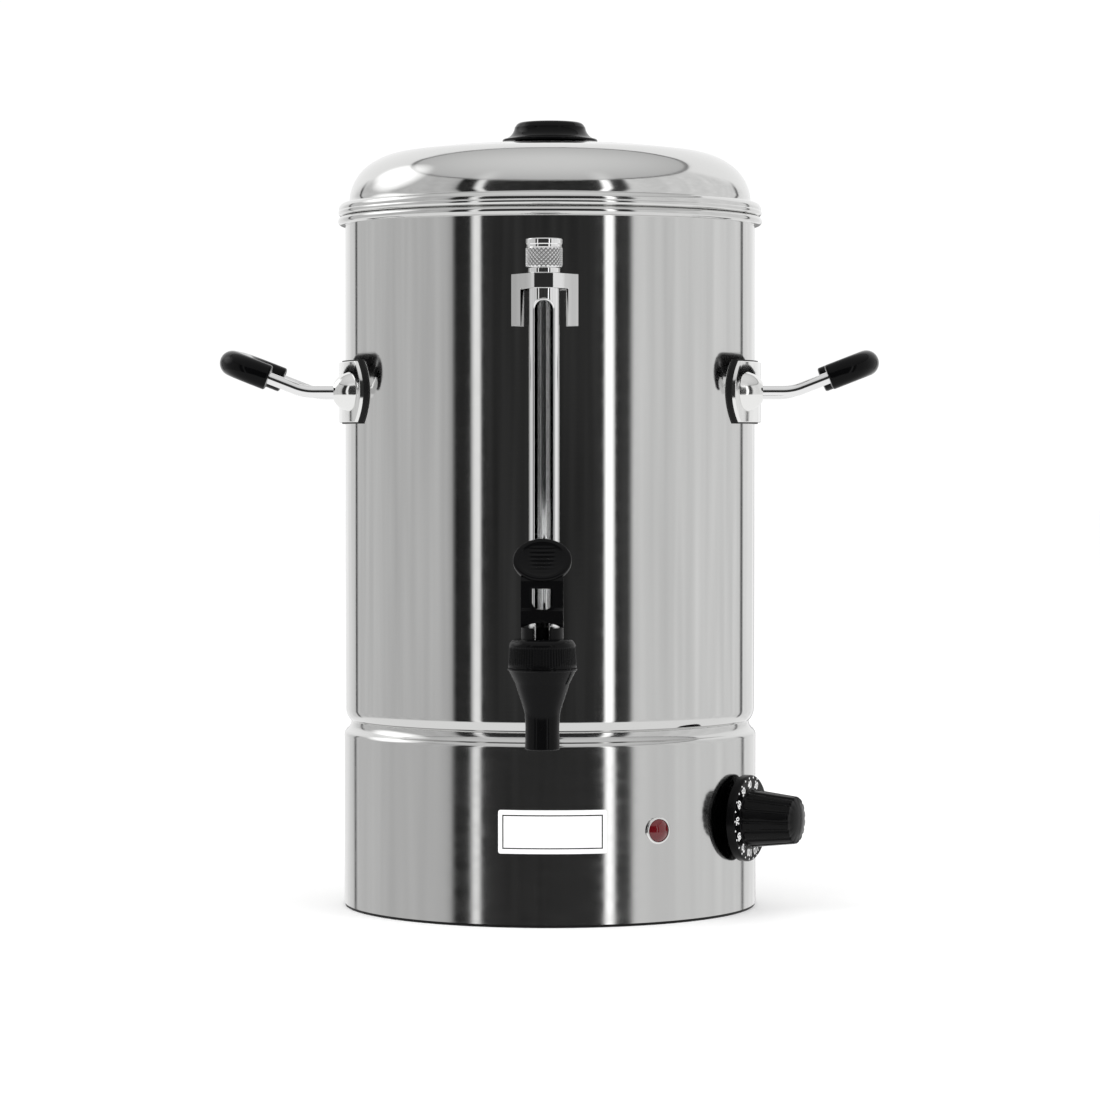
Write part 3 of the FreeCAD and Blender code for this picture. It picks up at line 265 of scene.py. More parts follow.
def rounded_path(points, radii):
    """Points of straight runs with a tangent arc at each inner point."""
    points = [np.array(p, float) for p in points]
    at = points[0]
    found = [at[None]]
    for corner, after, radius in zip(points[1:-1], points[2:], radii):
        back = (at - corner) / np.linalg.norm(at - corner)
        ahead = (after - corner) / np.linalg.norm(after - corner)
        half = math.acos(float(np.clip(back @ ahead, -1, 1))) / 2
        start = corner + back * radius / math.tan(half)
        end = corner + ahead * radius / math.tan(half)
        inward = (back + ahead) / np.linalg.norm(back + ahead)
        centre = corner + inward * radius / math.sin(half)
        found.append(line_run(at, start, 6.0))
        sweep = math.pi - 2 * half
        u = (start - centre) / radius
        w = -back
        angle = sweep * np.arange(1, 13)[:, None] / 12
        found.append(centre + radius * (u * np.cos(angle) + w * np.sin(angle)))
        at = end
    found.append(line_run(at, points[-1], 6.0))
    return np.concatenate(found)


# Grids: arrays of rows x columns x 3, whose columns go round

def turned(outline, turns=192, closed=True, step=None, shaped=None):
    """An outline turned about Z: (r cos a, r sin a, z), where shaped(r, z, a) may change r."""
    profile = trace(outline, closed, step)
    r, a = np.meshgrid(profile[:, 0], np.arange(turns) * (TURN / turns), indexing="ij")
    z = np.repeat(profile[:, 1:], turns, axis=1)
    if shaped:
        r = shaped(r, z, a)
    return np.stack([r * np.cos(a), r * np.sin(a), z], axis=-1)


def prism(outline, start, end):
    """An outline in YZ carried along X from start to end, as two rows."""
    face = trace(outline)
    return np.array([np.column_stack([np.full(len(face), x), face]) for x in (start, end)])


def through(face, start, end):
    """Traced points in XZ carried along Y from start to end, as two rows."""
    return np.array([np.column_stack([face[:, 0], np.full(len(face), y), face[:, 1]]) for y in (start, end)])


def tube(path, radius, sides=40, up=(0, 0, 1)):
    """A round section of the given radius, one number or one per station, carried along a path.

    Each station's section is square to the mean of the runs that meet there.
    """
    runs = np.diff(path, axis=0)
    runs /= np.linalg.norm(runs, axis=1)[:, None]
    along = np.concatenate([runs[:1], runs[:-1] + runs[1:], runs[-1:]])
    along /= np.linalg.norm(along, axis=1)[:, None]
    side = np.cross(along, np.array(up, float))
    side /= np.linalg.norm(side, axis=1)[:, None]
    over = np.cross(side, along)
    a = np.arange(sides) * (TURN / sides)
    radius = np.broadcast_to(radius, len(path))[:, None, None]
    ring = side[:, None] * np.cos(a)[None, :, None] + over[:, None] * np.sin(a)[None, :, None]
    return path[:, None] + radius * ring


def rod(radius, start, end, sides=64):
    """A round bar along Z."""
    return turned([(0, start), (radius, start), (radius, end), (0, end)], sides, closed=False)


def shift(grid, x=0.0, y=0.0, z=0.0):
    """The grid moved by a vector."""
    return grid + np.array([x, y, z])


def outward(grid, azimuth, z):
    """A grid built along Z laid on a radius of the urn: its Z is the way out and its Y is up."""
    a = math.radians(azimuth)
    c, s = math.cos(a), math.sin(a)
    side, up, out = grid[..., 0], grid[..., 1], grid[..., 2]
    return np.stack([side * c + out * s, side * s - out * c, up + z], axis=-1)


def along_y(grid, y, z):
    """A grid built along Z laid along +Y in the plane x = 0."""
    return np.stack([grid[..., 0], grid[..., 2] + y, z - grid[..., 1]], axis=-1)


def plate_section(tall, in_r, out_r, edge, count):
    """Radius and height round a thin plate's sections, one row for each half height.

    Each section's two outer edges are rounded by quarter circles of count points.
    """
    tall = tall[:, None]
    e = np.minimum(edge, tall * 0.9)
    turn = np.linspace(0, np.pi / 2, count)
    back = turn[::-1]
    inner = np.full_like(tall, in_r)
    z = np.hstack([-tall, -tall + e * (1 - np.cos(turn)), tall - e * (1 - np.cos(back)), tall])
    r = np.hstack([inner, out_r - e + e * np.sin(turn), out_r - e + e * np.sin(back), inner])
    return r, z


def dome(radius, rise, foot):
    """The arc of an outline from (radius, foot) to the axis, on a ball that rises by the given height."""
    ball = (radius ** 2 + rise ** 2) / (2 * rise)
    half = math.asin(radius / ball) / 2
    return (ball * math.sin(half), foot + rise - ball + ball * math.cos(half), 0, foot + rise)


def flipped(grid):
    """The grid turned half a circle about Z."""
    return grid * np.array([-1.0, -1.0, 1.0])


# Meshes

def levels(node):
    """The bottom and the top of a solid in mm."""
    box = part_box(node)
    return box[0].z / MM, box[1].z / MM


def faces_of(rows, columns, closed):
    """Quads between neighbouring points, and a face over each end where the rows don't close."""
    i = np.arange(rows if closed else rows - 1)[:, None]
    j = np.arange(columns)[None]
    near, far = i * columns, (i + 1) % rows * columns
    after = (j + 1) % columns
    quads = np.stack([near + j, near + after, far + after, far + j], axis=-1).reshape(-1, 4).tolist()
    if closed:
        return quads
    return quads + [list(range(columns))[::-1], list(range((rows - 1) * columns, rows * columns))]


def closed_mesh(name, shells):
    """One mesh from closed shells, each a grid and whether its rows close, in metres."""
    points, faces, used = [], [], 0
    for grid, closed in shells:
        rows, columns = grid.shape[:2]
        points.append(grid.reshape(-1, 3))
        faces += [[used + v for v in face] for face in faces_of(rows, columns, closed)]
        used += rows * columns
    mesh = bpy.data.meshes.new(name)
    mesh.from_pydata((np.concatenate(points) * MM).tolist(), [], faces)
    return tidied(mesh)


def smoothed(mesh, sharp=35):
    """The mesh with smooth shading, except over edges sharper than an angle in degrees."""
    mesh.polygons.foreach_set("use_smooth", [True] * len(mesh.polygons))
    mesh.set_sharp_from_angle(angle=math.radians(sharp))
    return mesh


def tidied(mesh, turn_faces=True):
    """The mesh smoothed, its doubles merged, and its faces turned outwards where asked."""
    bm = bmesh.new()
    bm.from_mesh(mesh)
    bmesh.ops.remove_doubles(bm, verts=bm.verts, dist=2e-6)
    if turn_faces:
        bmesh.ops.recalc_face_normals(bm, faces=bm.faces)
    bm.to_mesh(mesh)
    bm.free()
    return smoothed(mesh)


def joined(name, meshes, merge=0.0):
    """One mesh from several, where points closer than merge in metres become one."""
    bm = bmesh.new()
    for mesh in meshes:
        bm.from_mesh(mesh)
    if merge:
        bmesh.ops.remove_doubles(bm, verts=bm.verts, dist=merge)
    whole = bpy.data.meshes.new(name)
    bm.to_mesh(whole)
    bm.free()
    return whole


def corner_places(mesh):
    """The place in mm of each face corner."""
    corners = np.empty(len(mesh.loops), int)
    mesh.loops.foreach_get("vertex_index", corners)
    spots = np.empty(len(mesh.vertices) * 3)
    mesh.vertices.foreach_get("co", spots)
    return spots.reshape(-1, 3)[corners] / MM


def own_map(mesh, name, u, v):
    """A map of the mesh's own with two values for each face corner."""
    layer = mesh.uv_layers.new(name=name)
    layer.data.foreach_set("uv", np.stack([u, v], axis=1).ravel())


def loose(name, mesh):
    """A new object at the origin that holds the mesh."""
    thing = bpy.data.objects.new(name, mesh)
    bpy.context.scene.collection.objects.link(thing)
    return thing


def worked_out(thing):
    """A new mesh of the object as its modifiers or its text make it."""
    return bpy.data.meshes.new_from_object(thing.evaluated_get(bpy.context.evaluated_depsgraph_get()))


def cut(thing, *groups):
    """Takes each group of shells that lie clear of each other out of the object, by exact booleans."""
    for grids in groups:
        cutter = loose("cutter", closed_mesh("cutter", [(grid, False) for grid in grids]))
        step = thing.modifiers.new("cut", "BOOLEAN")
        step.operation = "DIFFERENCE"
        step.solver = "EXACT"
        step.object = cutter
        mesh = worked_out(thing)
        thing.modifiers.clear()
        thing.data = mesh
        bpy.data.objects.remove(cutter)
    tidied(thing.data)


def eased(thing, width, segments=3):
    """The object's edges rounded by a width in mm."""
    step = thing.modifiers.new("eased edges", "BEVEL")
    step.width = width * MM
    step.segments = segments
    step.limit_method = "ANGLE"
    step.angle_limit = math.radians(38)
    step.harden_normals = True
    step.use_clamp_overlap = True
    return thing


def dressed(thing, body, slot, *nodes, look=None):
    """Gives a piece its name, its body, and its own look or its slot's material, and hides the solids it
    stands for.
    """
    thing.name = "urn_" + nodes[0] if nodes else thing.name
    thing.data.materials.clear()
    thing.data.materials.append(look or by_slot[slot])
    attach(thing, body)
    if nodes:
        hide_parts(*nodes)
    return thing


def made(body, slot, shells, *nodes, look=None):
    """A dressed piece from closed shells."""
    return dressed(loose(nodes[0], closed_mesh(nodes[0], shells)), body, slot, *nodes, look=look)


def eased_solid(node, width, body, slot):
    """A dressed piece from a merged copy of a solid's mesh, its edges rounded."""
    source = frame["nodes"][node].data
    mesh = bpy.data.meshes.new(node)
    mesh.from_pydata([v.co[:] for v in source.vertices], [], [p.vertices[:] for p in source.polygons])
    dressed(eased(loose(node, tidied(mesh, turn_faces=False)), width), body, slot, node)


# Node groups

def add(tree, kind, **settings):
    """A new node, its own settings given by their names."""
    node = tree.nodes.new(kind)
    for name, value in settings.items():
        setattr(node, name, value)
    return node


def feed(tree, socket, value):
    """Links an output to a socket, or sets the socket's own value."""
    if isinstance(value, bpy.types.NodeSocket):
        tree.links.new(value, socket)
    else:
        socket.default_value = value


def math_node(tree, operation, a, b=0.0, c=0.0, clamp=False):
    """The output of a Math node."""
    node = add(tree, "ShaderNodeMath", operation=operation, use_clamp=clamp)
    for socket, value in zip(node.inputs, (a, b, c)):
        feed(tree, socket, value)
    return node.outputs[0]


def ranged(tree, value, from_low, from_high, low, high):
    """A value stretched from one range to another and held inside it."""
    node = add(tree, "ShaderNodeMapRange")
    for socket, number in zip(node.inputs, (value, from_low, from_high, low, high)):
        feed(tree, socket, number)
    return node.outputs[0]


def spread(tree, value, low, high):
    """A 0 to 1 noise value stretched over its middle to the range low to high."""
    return ranged(tree, value, 0.3, 0.7, low, high)


def parts_of(tree, vector):
    """The three numbers of a vector."""
    split = add(tree, "ShaderNodeSeparateXYZ")
    feed(tree, split.inputs[0], vector)
    return split.outputs


def noise(tree, place, detail, scale=1.0, socket="Vector", dimensions="3D"):
    """The value of a noise at a place."""
    node = add(tree, "ShaderNodeTexNoise", noise_dimensions=dimensions)
    node.inputs["Detail"].default_value = detail
    feed(tree, node.inputs["Scale"], scale)
    feed(tree, node.inputs[socket], place)
    return node.outputs["Fac"]


def grey_between(tree, share, low, high):
    """A grey between two by a share."""
    node = add(tree, "ShaderNodeMix", data_type="RGBA")
    feed(tree, node.inputs[0], share)
    node.inputs[6].default_value = (low, low, low, 1)
    node.inputs[7].default_value = (high, high, high, 1)
    return node.outputs[2]


def number_between(tree, share, low, high):
    """A number between two by a share."""
    node = add(tree, "ShaderNodeMix", data_type="FLOAT")
    feed(tree, node.inputs[0], share)
    feed(tree, node.inputs[2], low)
    feed(tree, node.inputs[3], high)
    return node.outputs[0]


def group_with(name, numbers, outputs):
    """A node group with plain number inputs and outputs: the tree, its input and its output node."""
    tree = bpy.data.node_groups.new(name, "ShaderNodeTree")
    for label, value in numbers.items():
        socket = tree.interface.new_socket(label, in_out="INPUT", socket_type="NodeSocketFloat")
        socket.default_value = value
    for label in outputs:
        tree.interface.new_socket(label, in_out="OUTPUT", socket_type="NodeSocketFloat")
    return tree, add(tree, "NodeGroupInput"), add(tree, "NodeGroupOutput")


def make_polish_group():
    """Round polish lines: noise that is fine along Z and along the radius and long round the axis.

    Height is the lines and Streak a softer and wider version of them.
    """
    tree, given, result = group_with("polish_lines", {"Across": 700.0, "Along": 60.0}, ["Height", "Streak"])
    x, y, z = parts_of(tree, add(tree, "ShaderNodeTexCoord").outputs["Object"])
    r = math_node(tree, "SQRT", math_node(tree, "MULTIPLY_ADD", x, x, math_node(tree, "MULTIPLY", y, y)))
    across = math_node(tree, "ADD", z, r)
    along = given.outputs["Along"]
    for label, fine, detail in (("Height", 1.0, 3.0), ("Streak", 0.18, 2.0)):
        place = add(tree, "ShaderNodeCombineXYZ")
        rate = math_node(tree, "MULTIPLY", given.outputs["Across"], fine)
        for socket, part, scale in zip(place.inputs, (x, y, across), (along, along, rate)):
            feed(tree, socket, math_node(tree, "MULTIPLY", part, scale))
        feed(tree, result.inputs[label], noise(tree, place.outputs[0], detail))
    return tree


def make_mottle_group():
    """Even fine mottle in all directions: Height is its grain, Cloud a wide slow version of it."""
    tree, given, result = group_with("mottle", {"Scale": 900.0}, ["Height", "Cloud"])
    place = add(tree, "ShaderNodeTexCoord").outputs["Object"]
    for label, factor in (("Height", 1.0), ("Cloud", 0.06)):
        scale = math_node(tree, "MULTIPLY", given.outputs["Scale"], factor)
        feed(tree, result.inputs[label], noise(tree, place, 3.0, scale))
    return tree


polish_group = make_polish_group()
mottle_group = make_mottle_group()


# Finishes

def finish(name, **values):
    """A material with one Principled shader, its plain values set by their sockets' names."""
    material = bpy.data.materials.new(name)
    material.use_nodes = True
    shader = material.node_tree.nodes["Principled BSDF"]
    for label, value in values.items():
        shader.inputs[label.replace("_", " ")].default_value = value
    return material, material.node_tree, shader


def placed_group(tree, group, **values):
    """A node group placed in a material with its own values."""
    node = add(tree, "ShaderNodeGroup", node_tree=group)
    for label, value in values.items():
        node.inputs[label].default_value = value
    return node


def bumped(tree, shader, height, depth):
    """A height of the given depth in mm that feeds the shader's normal."""
    bump = add(tree, "ShaderNodeBump")
    bump.inputs["Distance"].default_value = depth * MM
    bump.inputs["Strength"].default_value = 1.0
    feed(tree, bump.inputs["Height"], height)
    feed(tree, shader.inputs["Normal"], bump.outputs["Normal"])


def mottled(tree, shader, scale, rough, rougher, depth):
    """An even fine mottle: its cloud varies the roughness and its grain is a bump. Gives the roughness."""
    mottle = placed_group(tree, mottle_group, Scale=scale)
    roughness = spread(tree, mottle.outputs["Cloud"], rough, rougher)
    feed(tree, shader.inputs["Roughness"], roughness)
    bumped(tree, shader, mottle.outputs["Height"], depth)
    return roughness


def steel(name, shade, rough, rougher, across, along, depth):
    """Polished sheet: round polish lines as a bump, and roughness that varies with streaks."""
    material, tree, shader = finish(name, Metallic=1.0, Base_Color=(shade, shade, shade * 0.99, 1))
    lines = placed_group(tree, polish_group, Across=across, Along=along)
    feed(tree, shader.inputs["Roughness"], spread(tree, lines.outputs["Streak"], rough, rougher))
    bumped(tree, shader, lines.outputs["Height"], depth)
    return material


def plated(name, colour, rough, rougher, scale=600.0):
    """Bright or dull metal with an even fine mottle."""
    material, tree, shader = finish(name, Metallic=1.0, Base_Color=(*colour, 1))
    mottled(tree, shader, scale, rough, rougher, 0.002)
    return material


def moulded(name, colour, rough, rougher, specular=0.5, coat=0.0, scale=500.0, depth=0.004):
    """Plastic or rubber with a fine moulded grain."""
    material, tree, shader = finish(
        name, Base_Color=(*colour, 1), Coat_Weight=coat, Coat_Roughness=0.05, Specular_IOR_Level=specular)
    mottled(tree, shader, scale, rough, rougher, depth)
    return material


def gauge_glass_finish():
    """Clear glass with a strong mirror skin, tinted a little."""
    material, tree, shader = finish(
        "clear gauge glass", Base_Color=(0.985, 0.99, 0.99, 1), IOR=1.5, Transmission_Weight=1.0,
        Coat_Weight=1.0, Coat_IOR=2.3, Coat_Roughness=0.02)
    mottled(tree, shader, 250.0, 0.01, 0.04, 0.001)
    return material


def knurled_finish_painted_shade():
    """Bright chrome, rougher where the piece's own map says that it is sunk, with painted shade darkening
    its colour there in the grooves.
    """
    material, tree, shader = finish("knurled chrome, painted groove shade", Metallic=1.0)
    sunk = parts_of(tree, add(tree, "ShaderNodeUVMap", uv_map="knurl").outputs[0])[0]
    # painted shade: the colour falls from 0.90 to 0.10 down in the sunk grooves, standing in for their
    # shadow
    feed(tree, shader.inputs["Base Color"], grey_between(tree, sunk, 0.90, 0.10))
    rough = mottled(tree, shader, 600.0, 0.05, 0.09, 0.002)
    feed(tree, shader.inputs["Roughness"], math_node(tree, "MULTIPLY_ADD", sunk, 0.3, rough))
    return material


def lamp_lens_finish():
    """Dark red lens with a glossy skin."""
    material, tree, shader = finish(
        "red lamp lens", Base_Color=(0.10, 0.003, 0.006, 1), IOR=1.5, Coat_Weight=0.6)
    mottled(tree, shader, 700.0, 0.08, 0.14, 0.004)
    return material


def label_finish():
    """White enamel with a thin black line a little inside its edge, from the piece's own map in mm."""
    material, tree, shader = finish("white label enamel", Coat_Weight=0.5)
    s, v, _ = parts_of(tree, add(tree, "ShaderNodeUVMap", uv_map="plate").outputs[0])
    past = math_node(
        tree, "MAXIMUM",
        math_node(tree, "SUBTRACT", math_node(tree, "ABSOLUTE", s), label_w / 2 - label_line_from_end),
        math_node(tree, "SUBTRACT", math_node(tree, "ABSOLUTE", v), label_h / 2 - label_line_from_top))
    off_line = math_node(tree, "GREATER_THAN", math_node(tree, "ABSOLUTE", past), label_half_line)
    feed(tree, shader.inputs["Base Color"], grey_between(tree, off_line, 0.01, 0.86))
    mottled(tree, shader, 500.0, 0.2, 0.3, 0.003)
    return material


by_slot = {
    "polished_steel": steel("polished tank steel", 0.68, 0.060, 0.080, 900.0, 70.0, 0.006),
    "plain_sheet": steel("plain sheet", 0.62, 0.25, 0.38, 500.0, 400.0, 0.004),
    "polished_plate": plated("polished plate", (0.86, 0.86, 0.85), 0.06, 0.12),
    "zinc_screw": plated("bright zinc", (0.72, 0.73, 0.74), 0.22, 0.34),
    "chrome_fitting": plated("bright chrome", (0.90, 0.90, 0.90), 0.03, 0.07),
    "chrome_rod": plated("polished bar", (0.86, 0.86, 0.86), 0.05, 0.10),
    "bezel_chrome": plated("bright ring", (0.86, 0.86, 0.85), 0.06, 0.10),
    "spring_steel": plated("drawn bar", (0.60, 0.60, 0.61), 0.25, 0.40),
    "element_steel": plated("element sheath", (0.40, 0.39, 0.38), 0.35, 0.50, 300.0),
    "copper_tube": plated("copper tube", (0.72, 0.43, 0.30), 0.20, 0.32),
    "brass_nut": plated("turned brass", (0.75, 0.60, 0.30), 0.20, 0.30),
    "black_gloss": moulded("tap moulding", (0.0025, 0.0025, 0.0027), 0.08, 0.16, 0.11),
    "black_grip": moulded("grip moulding", (0.0018, 0.0018, 0.0020), 0.06, 0.14, 0.11),
    "black_plastic": moulded("satin moulding", (0.008, 0.008, 0.008), 0.38, 0.50, 0.3),
    "white_nylon": moulded("natural nylon", (0.80, 0.80, 0.76), 0.35, 0.48),
    "black_rubber": moulded("black rubber", (0.006, 0.006, 0.006), 0.45, 0.60, 0.2, 0.0, 350.0, 0.010),
    "silicone": moulded("silicone", (0.74, 0.73, 0.71), 0.35, 0.50),
    "button_red": moulded("red button", (0.42, 0.02, 0.02), 0.20, 0.30, coat=0.3),
    "clear_glass": gauge_glass_finish(), "red_lens": lamp_lens_finish(), "white_label": label_finish()}
skirt_steel = steel("polished base steel", 0.66, 0.090, 0.125, 1100.0, 60.0, 0.009)
lid_steel = steel("polished lid steel", 0.72, 0.060, 0.120, 700.0, 40.0, 0.014)
knob_black = moulded("knob moulding", (0.0025, 0.0025, 0.0027), 0.12, 0.22, 0.11)
figure_white = moulded("dial print", (0.90, 0.90, 0.90), 0.35, 0.45)
knurled_chrome_painted_shade = knurled_finish_painted_shade()


def dress_solids():
    """Each solid's own material by its slot in the record."""
    for part in frame["record"]["subparts"]:
        solid = frame["nodes"][part["node"]]
        material = by_slot[part["material_slot"]]
        if not solid.material_slots:
            solid.data.materials.append(material)
        for place in solid.material_slots:
            place.material = material


# Tank and base

def make_tank():
    """The tank wall turned from one closed outline: rolled rim, straight side, curl in to the neck."""
    in_r = tank_r - sheet
    bead_z = rim_top_z - rim_bead_r
    bead_r = in_r + rim_bead_r
    curl_in = tank_r - neck_r
    curl_drop = neck_curl_z - lip_z - sheet / 2
    curl_r = (curl_in ** 2 + curl_drop ** 2) / (2 * curl_in)
    turn = math.asin(curl_drop / curl_r)

    def curl(radius, angle):
        return (tank_r - curl_r + radius * math.cos(angle), neck_curl_z - radius * math.sin(angle))

    outline = [
        (in_r, bead_z), (bead_r, rim_top_z, bead_r + rim_bead_r, bead_z),
        (bead_r, bead_z - rim_bead_r, tank_r + 0.2, bead_z - rim_bead_r * 0.8),
        (tank_r, bead_z - rim_bead_r), (tank_r, neck_curl_z), curl(curl_r, turn / 2) + curl(curl_r, turn),
        (neck_r, lip_z), (neck_r - lip_reach, lip_z), (neck_r - lip_reach, lip_z + sheet),
        (curl(curl_r - sheet, turn)[0] - 0.3, lip_z + sheet), curl(curl_r - sheet, turn),
        curl(curl_r - sheet, turn / 2) + (in_r, neck_curl_z)]
    tank = loose("tank_shell", closed_mesh("tank_shell", [(turned(outline, 288, step=20.0), True)]))
    shank = along_y(rod(shank_hole_r, 0, 2 * curl_in + 20), -tank_r - 10, shank_z)
    across = rod(rod_r + hole_clear, -tank_r - 20, tank_r + 20)
    bars = [np.stack([across[..., 2], across[..., 0] + side, across[..., 1] + handle_z], axis=-1)
            for side in (-handle_leg_y, handle_leg_y)]
    cut(tank, [shank] + bars)
    dressed(tank, "urn", "polished_steel", "tank_shell")


def make_skirt():
    """The base skirt: a rolled shoulder under the groove and a straight side down to the foot ring."""
    inner = neck_r - lip_reach
    in_r = skirt_r - sheet
    outline = [
        (inner, lip_z), (neck_r, lip_z), (112.2, 100.7, skirt_r - 1.1, 98.4), (skirt_r - 0.8, 98.0),
        (skirt_r - 0.2, 96.9, skirt_r, shoulder_z), (skirt_r, skirt_bottom_z), (in_r, skirt_bottom_z),
        (in_r, shoulder_z), (in_r - 0.3, 96.6, in_r - 1.0, 97.6),
        (111.3, 100.0, neck_r - sheet, lip_z - sheet), (inner, lip_z - sheet)]
    skirt = loose("base_skirt", closed_mesh("base_skirt", [(turned(outline, 288, step=20.0), True)]))
    holes = [
        (knob_azimuth, knob_z, shaft_hole_r), (lamp_azimuth, lamp_z, lamp_hole_r),
        (cutout_azimuth, rear_z, cutout_hole_r), (gland_azimuth, rear_z, gland_hole_r),
        (knob_azimuth, knob_z - knob_screw_offset, knob_screw_hole_r),
        (knob_azimuth, knob_z + knob_screw_offset, knob_screw_hole_r)]
    cut(skirt, [outward(rod(r, skirt_r - 12, skirt_r + 8), azimuth, z) for azimuth, z, r in holes])
    dressed(skirt, "urn", "polished_steel", "base_skirt", look=skirt_steel)


def make_foot():
    """The foot ring, its lower edge rounded."""
    in_r = skirt_r - sheet - 0.1
    outline = [
        (foot_in_r, 0.4), (foot_in_r + 0.12, 0.12, foot_in_r + 0.4, 0), (foot_out_r - 0.5, 0),
        (foot_out_r - 0.15, 0.15, foot_out_r, 0.5), (foot_out_r, skirt_bottom_z), (in_r, skirt_bottom_z),
        (in_r, foot_collar_z), (foot_in_r, foot_collar_z)]
    made("urn", "black_rubber", [(turned(outline, 192), True)], "foot_ring")


# Lid

def lid_rise(offset):
    """The lid's arcs from its side to the crown, set in by the offset, and the crown's height."""
    turn = lid_shoulder_turn
    shoulder = np.array([lid_side_r - lid_shoulder_r, lid_side_top_z])
    haunch = shoulder - (lid_haunch_r - lid_shoulder_r) * np.array([math.cos(turn), math.sin(turn)])
    crown_z = haunch[1] - math.sqrt((lid_crown_r - lid_haunch_r) ** 2 - haunch[0] ** 2)
    meet = math.atan2(haunch[1] - crown_z, haunch[0])

    def at(centre, radius, angle):
        reach = radius - offset
        return (centre[0] + reach * math.cos(angle), centre[1] + reach * math.sin(angle))

    last = math.acos(lid_screw_r / (lid_crown_r - offset))
    crown = (0.0, crown_z)
    return [
        at(shoulder, lid_shoulder_r, turn / 2) + at(shoulder, lid_shoulder_r, turn),
        at(haunch, lid_haunch_r, (turn + meet) / 2) + at(haunch, lid_haunch_r, meet),
        at(crown, lid_crown_r, (meet + last) / 2) + at(crown, lid_crown_r, last)]


def make_lid():
    """The lid turned from one closed outline: plug, rolled bead, side, shoulder, haunch and crown."""
    seat = lid_seat_z
    top = seat + lid_bead_h
    in_r = lid_side_r - lid_sheet
    outer = lid_rise(0)
    inner = lid_rise(lid_sheet)
    outline = [
        (in_r, seat - lid_plug_depth), (lid_side_r, seat - lid_plug_depth), (lid_side_r, seat),
        (lid_bead_r - 2.6, seat), (lid_bead_r, seat + 0.7, lid_bead_r, seat + 3.0),
        (lid_bead_r - 0.6, top - 1.2, lid_side_r + 1.2, top),
        (lid_side_r + 0.3, top + 0.2, lid_side_r, lid_side_top_z)] + outer + [
        inner[2][2:], inner[2][:2] + inner[1][2:], inner[1][:2] + inner[0][2:],
        inner[0][:2] + (in_r, lid_side_top_z)]
    made("lid", "polished_steel", [(turned(outline, 288, step=12.0), True)], "lid", look=lid_steel)


def make_lid_knob():
    """The lid's knob, turned: a waisted foot, a wide rim and a flat top with a rounded edge."""
    foot, top = levels("lid_knob")
    rim = knob_rim_r
    outline = [
        (0, foot), (knob_foot_r, foot), (knob_foot_r + 0.6, foot + 0.7), (rim - 1.2, foot + 0.9),
        (rim, foot + 1.5, rim - 0.9, foot + 2.3), (rim - 4.4, foot + 4.2, knob_top_r + 4.5, top - 2.8),
        (knob_top_r + 3.5, top - 1.3), (knob_top_r + 2.2, top - 0.3, knob_top_r, top), (0, top)]
    made("lid", "black_gloss", [(turned(outline, 160, closed=False), False)], "lid_knob")


# Side handles: built on the +X side, the other side turned half a circle

def bowed_plate(margin, in_r, out_r, edge):
    """A thin plate wrapped on the tank: a closed section across Z carried along Y.

    The half height is constant up to the corners and falls on an arc to the pointed ends.
    """
    corner = plate_corner_y + margin
    end = plate_end_y + margin
    half = plate_half_h + margin
    bow_r = (half ** 2 + (end - corner) ** 2) / (2 * (end - corner))
    ends = end - (end - corner) * np.array([0.0, 0.02, 0.06, 0.13, 0.24, 0.4, 0.6, 0.8, 1.0])
    y = np.concatenate([-ends, np.linspace(-corner, corner, 49)[1:-1], ends[::-1]])
    rise = bow_r ** 2 - np.clip(np.abs(y) - (end - bow_r), 0, bow_r) ** 2
    tall = np.where(np.abs(y) < corner, half, np.minimum(half, np.sqrt(np.clip(rise, 0.01, None))))
    r, z = plate_section(tall, in_r, out_r, edge, 5)
    x = np.sqrt(r ** 2 - y[:, None] ** 2)
    return np.stack([x, np.repeat(y[:, None], z.shape[1], axis=1), z + handle_z], axis=-1)


def plate_boss(side):
    """A round boss along X on the plate: its foot follows the plate's curve, its top is domed."""
    root = math.sqrt(plate_out_r ** 2 - handle_leg_y ** 2)
    profile = trace([
        (boss_r, 0.1), (boss_r - 0.9, 2.6), (boss_top_r + 3.1, boss_reach - 2.4, boss_top_r, boss_reach),
        (rod_r + 0.1, boss_reach), (rod_r + 0.1, boss_reach - 4)], closed=False)
    a = np.arange(72) * (TURN / 72)
    r = profile[:, :1]
    y = side * handle_leg_y + r * np.cos(a)
    z = handle_z + r * np.sin(a)
    lean = np.clip((r - boss_top_r) / (boss_r - boss_top_r), 0, 1)
    skin = np.sqrt(plate_out_r ** 2 - y ** 2)
    x = skin * lean + root * (1 - lean) + profile[:, 1:]
    foot = np.sqrt((plate_out_r - 1.2) ** 2 - y[0] ** 2)
    low = np.stack([foot, y[0], z[0]], axis=-1)[None]
    return np.concatenate([low, np.stack([x, y, z], axis=-1)])


def handle_path(start_x, start_z, radii, knee=True):
    """The handle's centre line from one leg, round the bar, to the other leg."""
    bar_z = handle_z + bar_rise
    leg = handle_leg_y
    knee_x = bar_x - bar_rise / math.tan(slope)
    near = [(start_x, leg, start_z)] + ([(knee_x, leg, handle_z)] if knee else [])
    near += [(bar_x, leg, bar_z)]
    return rounded_path(near + [(x, -y, z) for x, y, z in near[::-1]], radii)


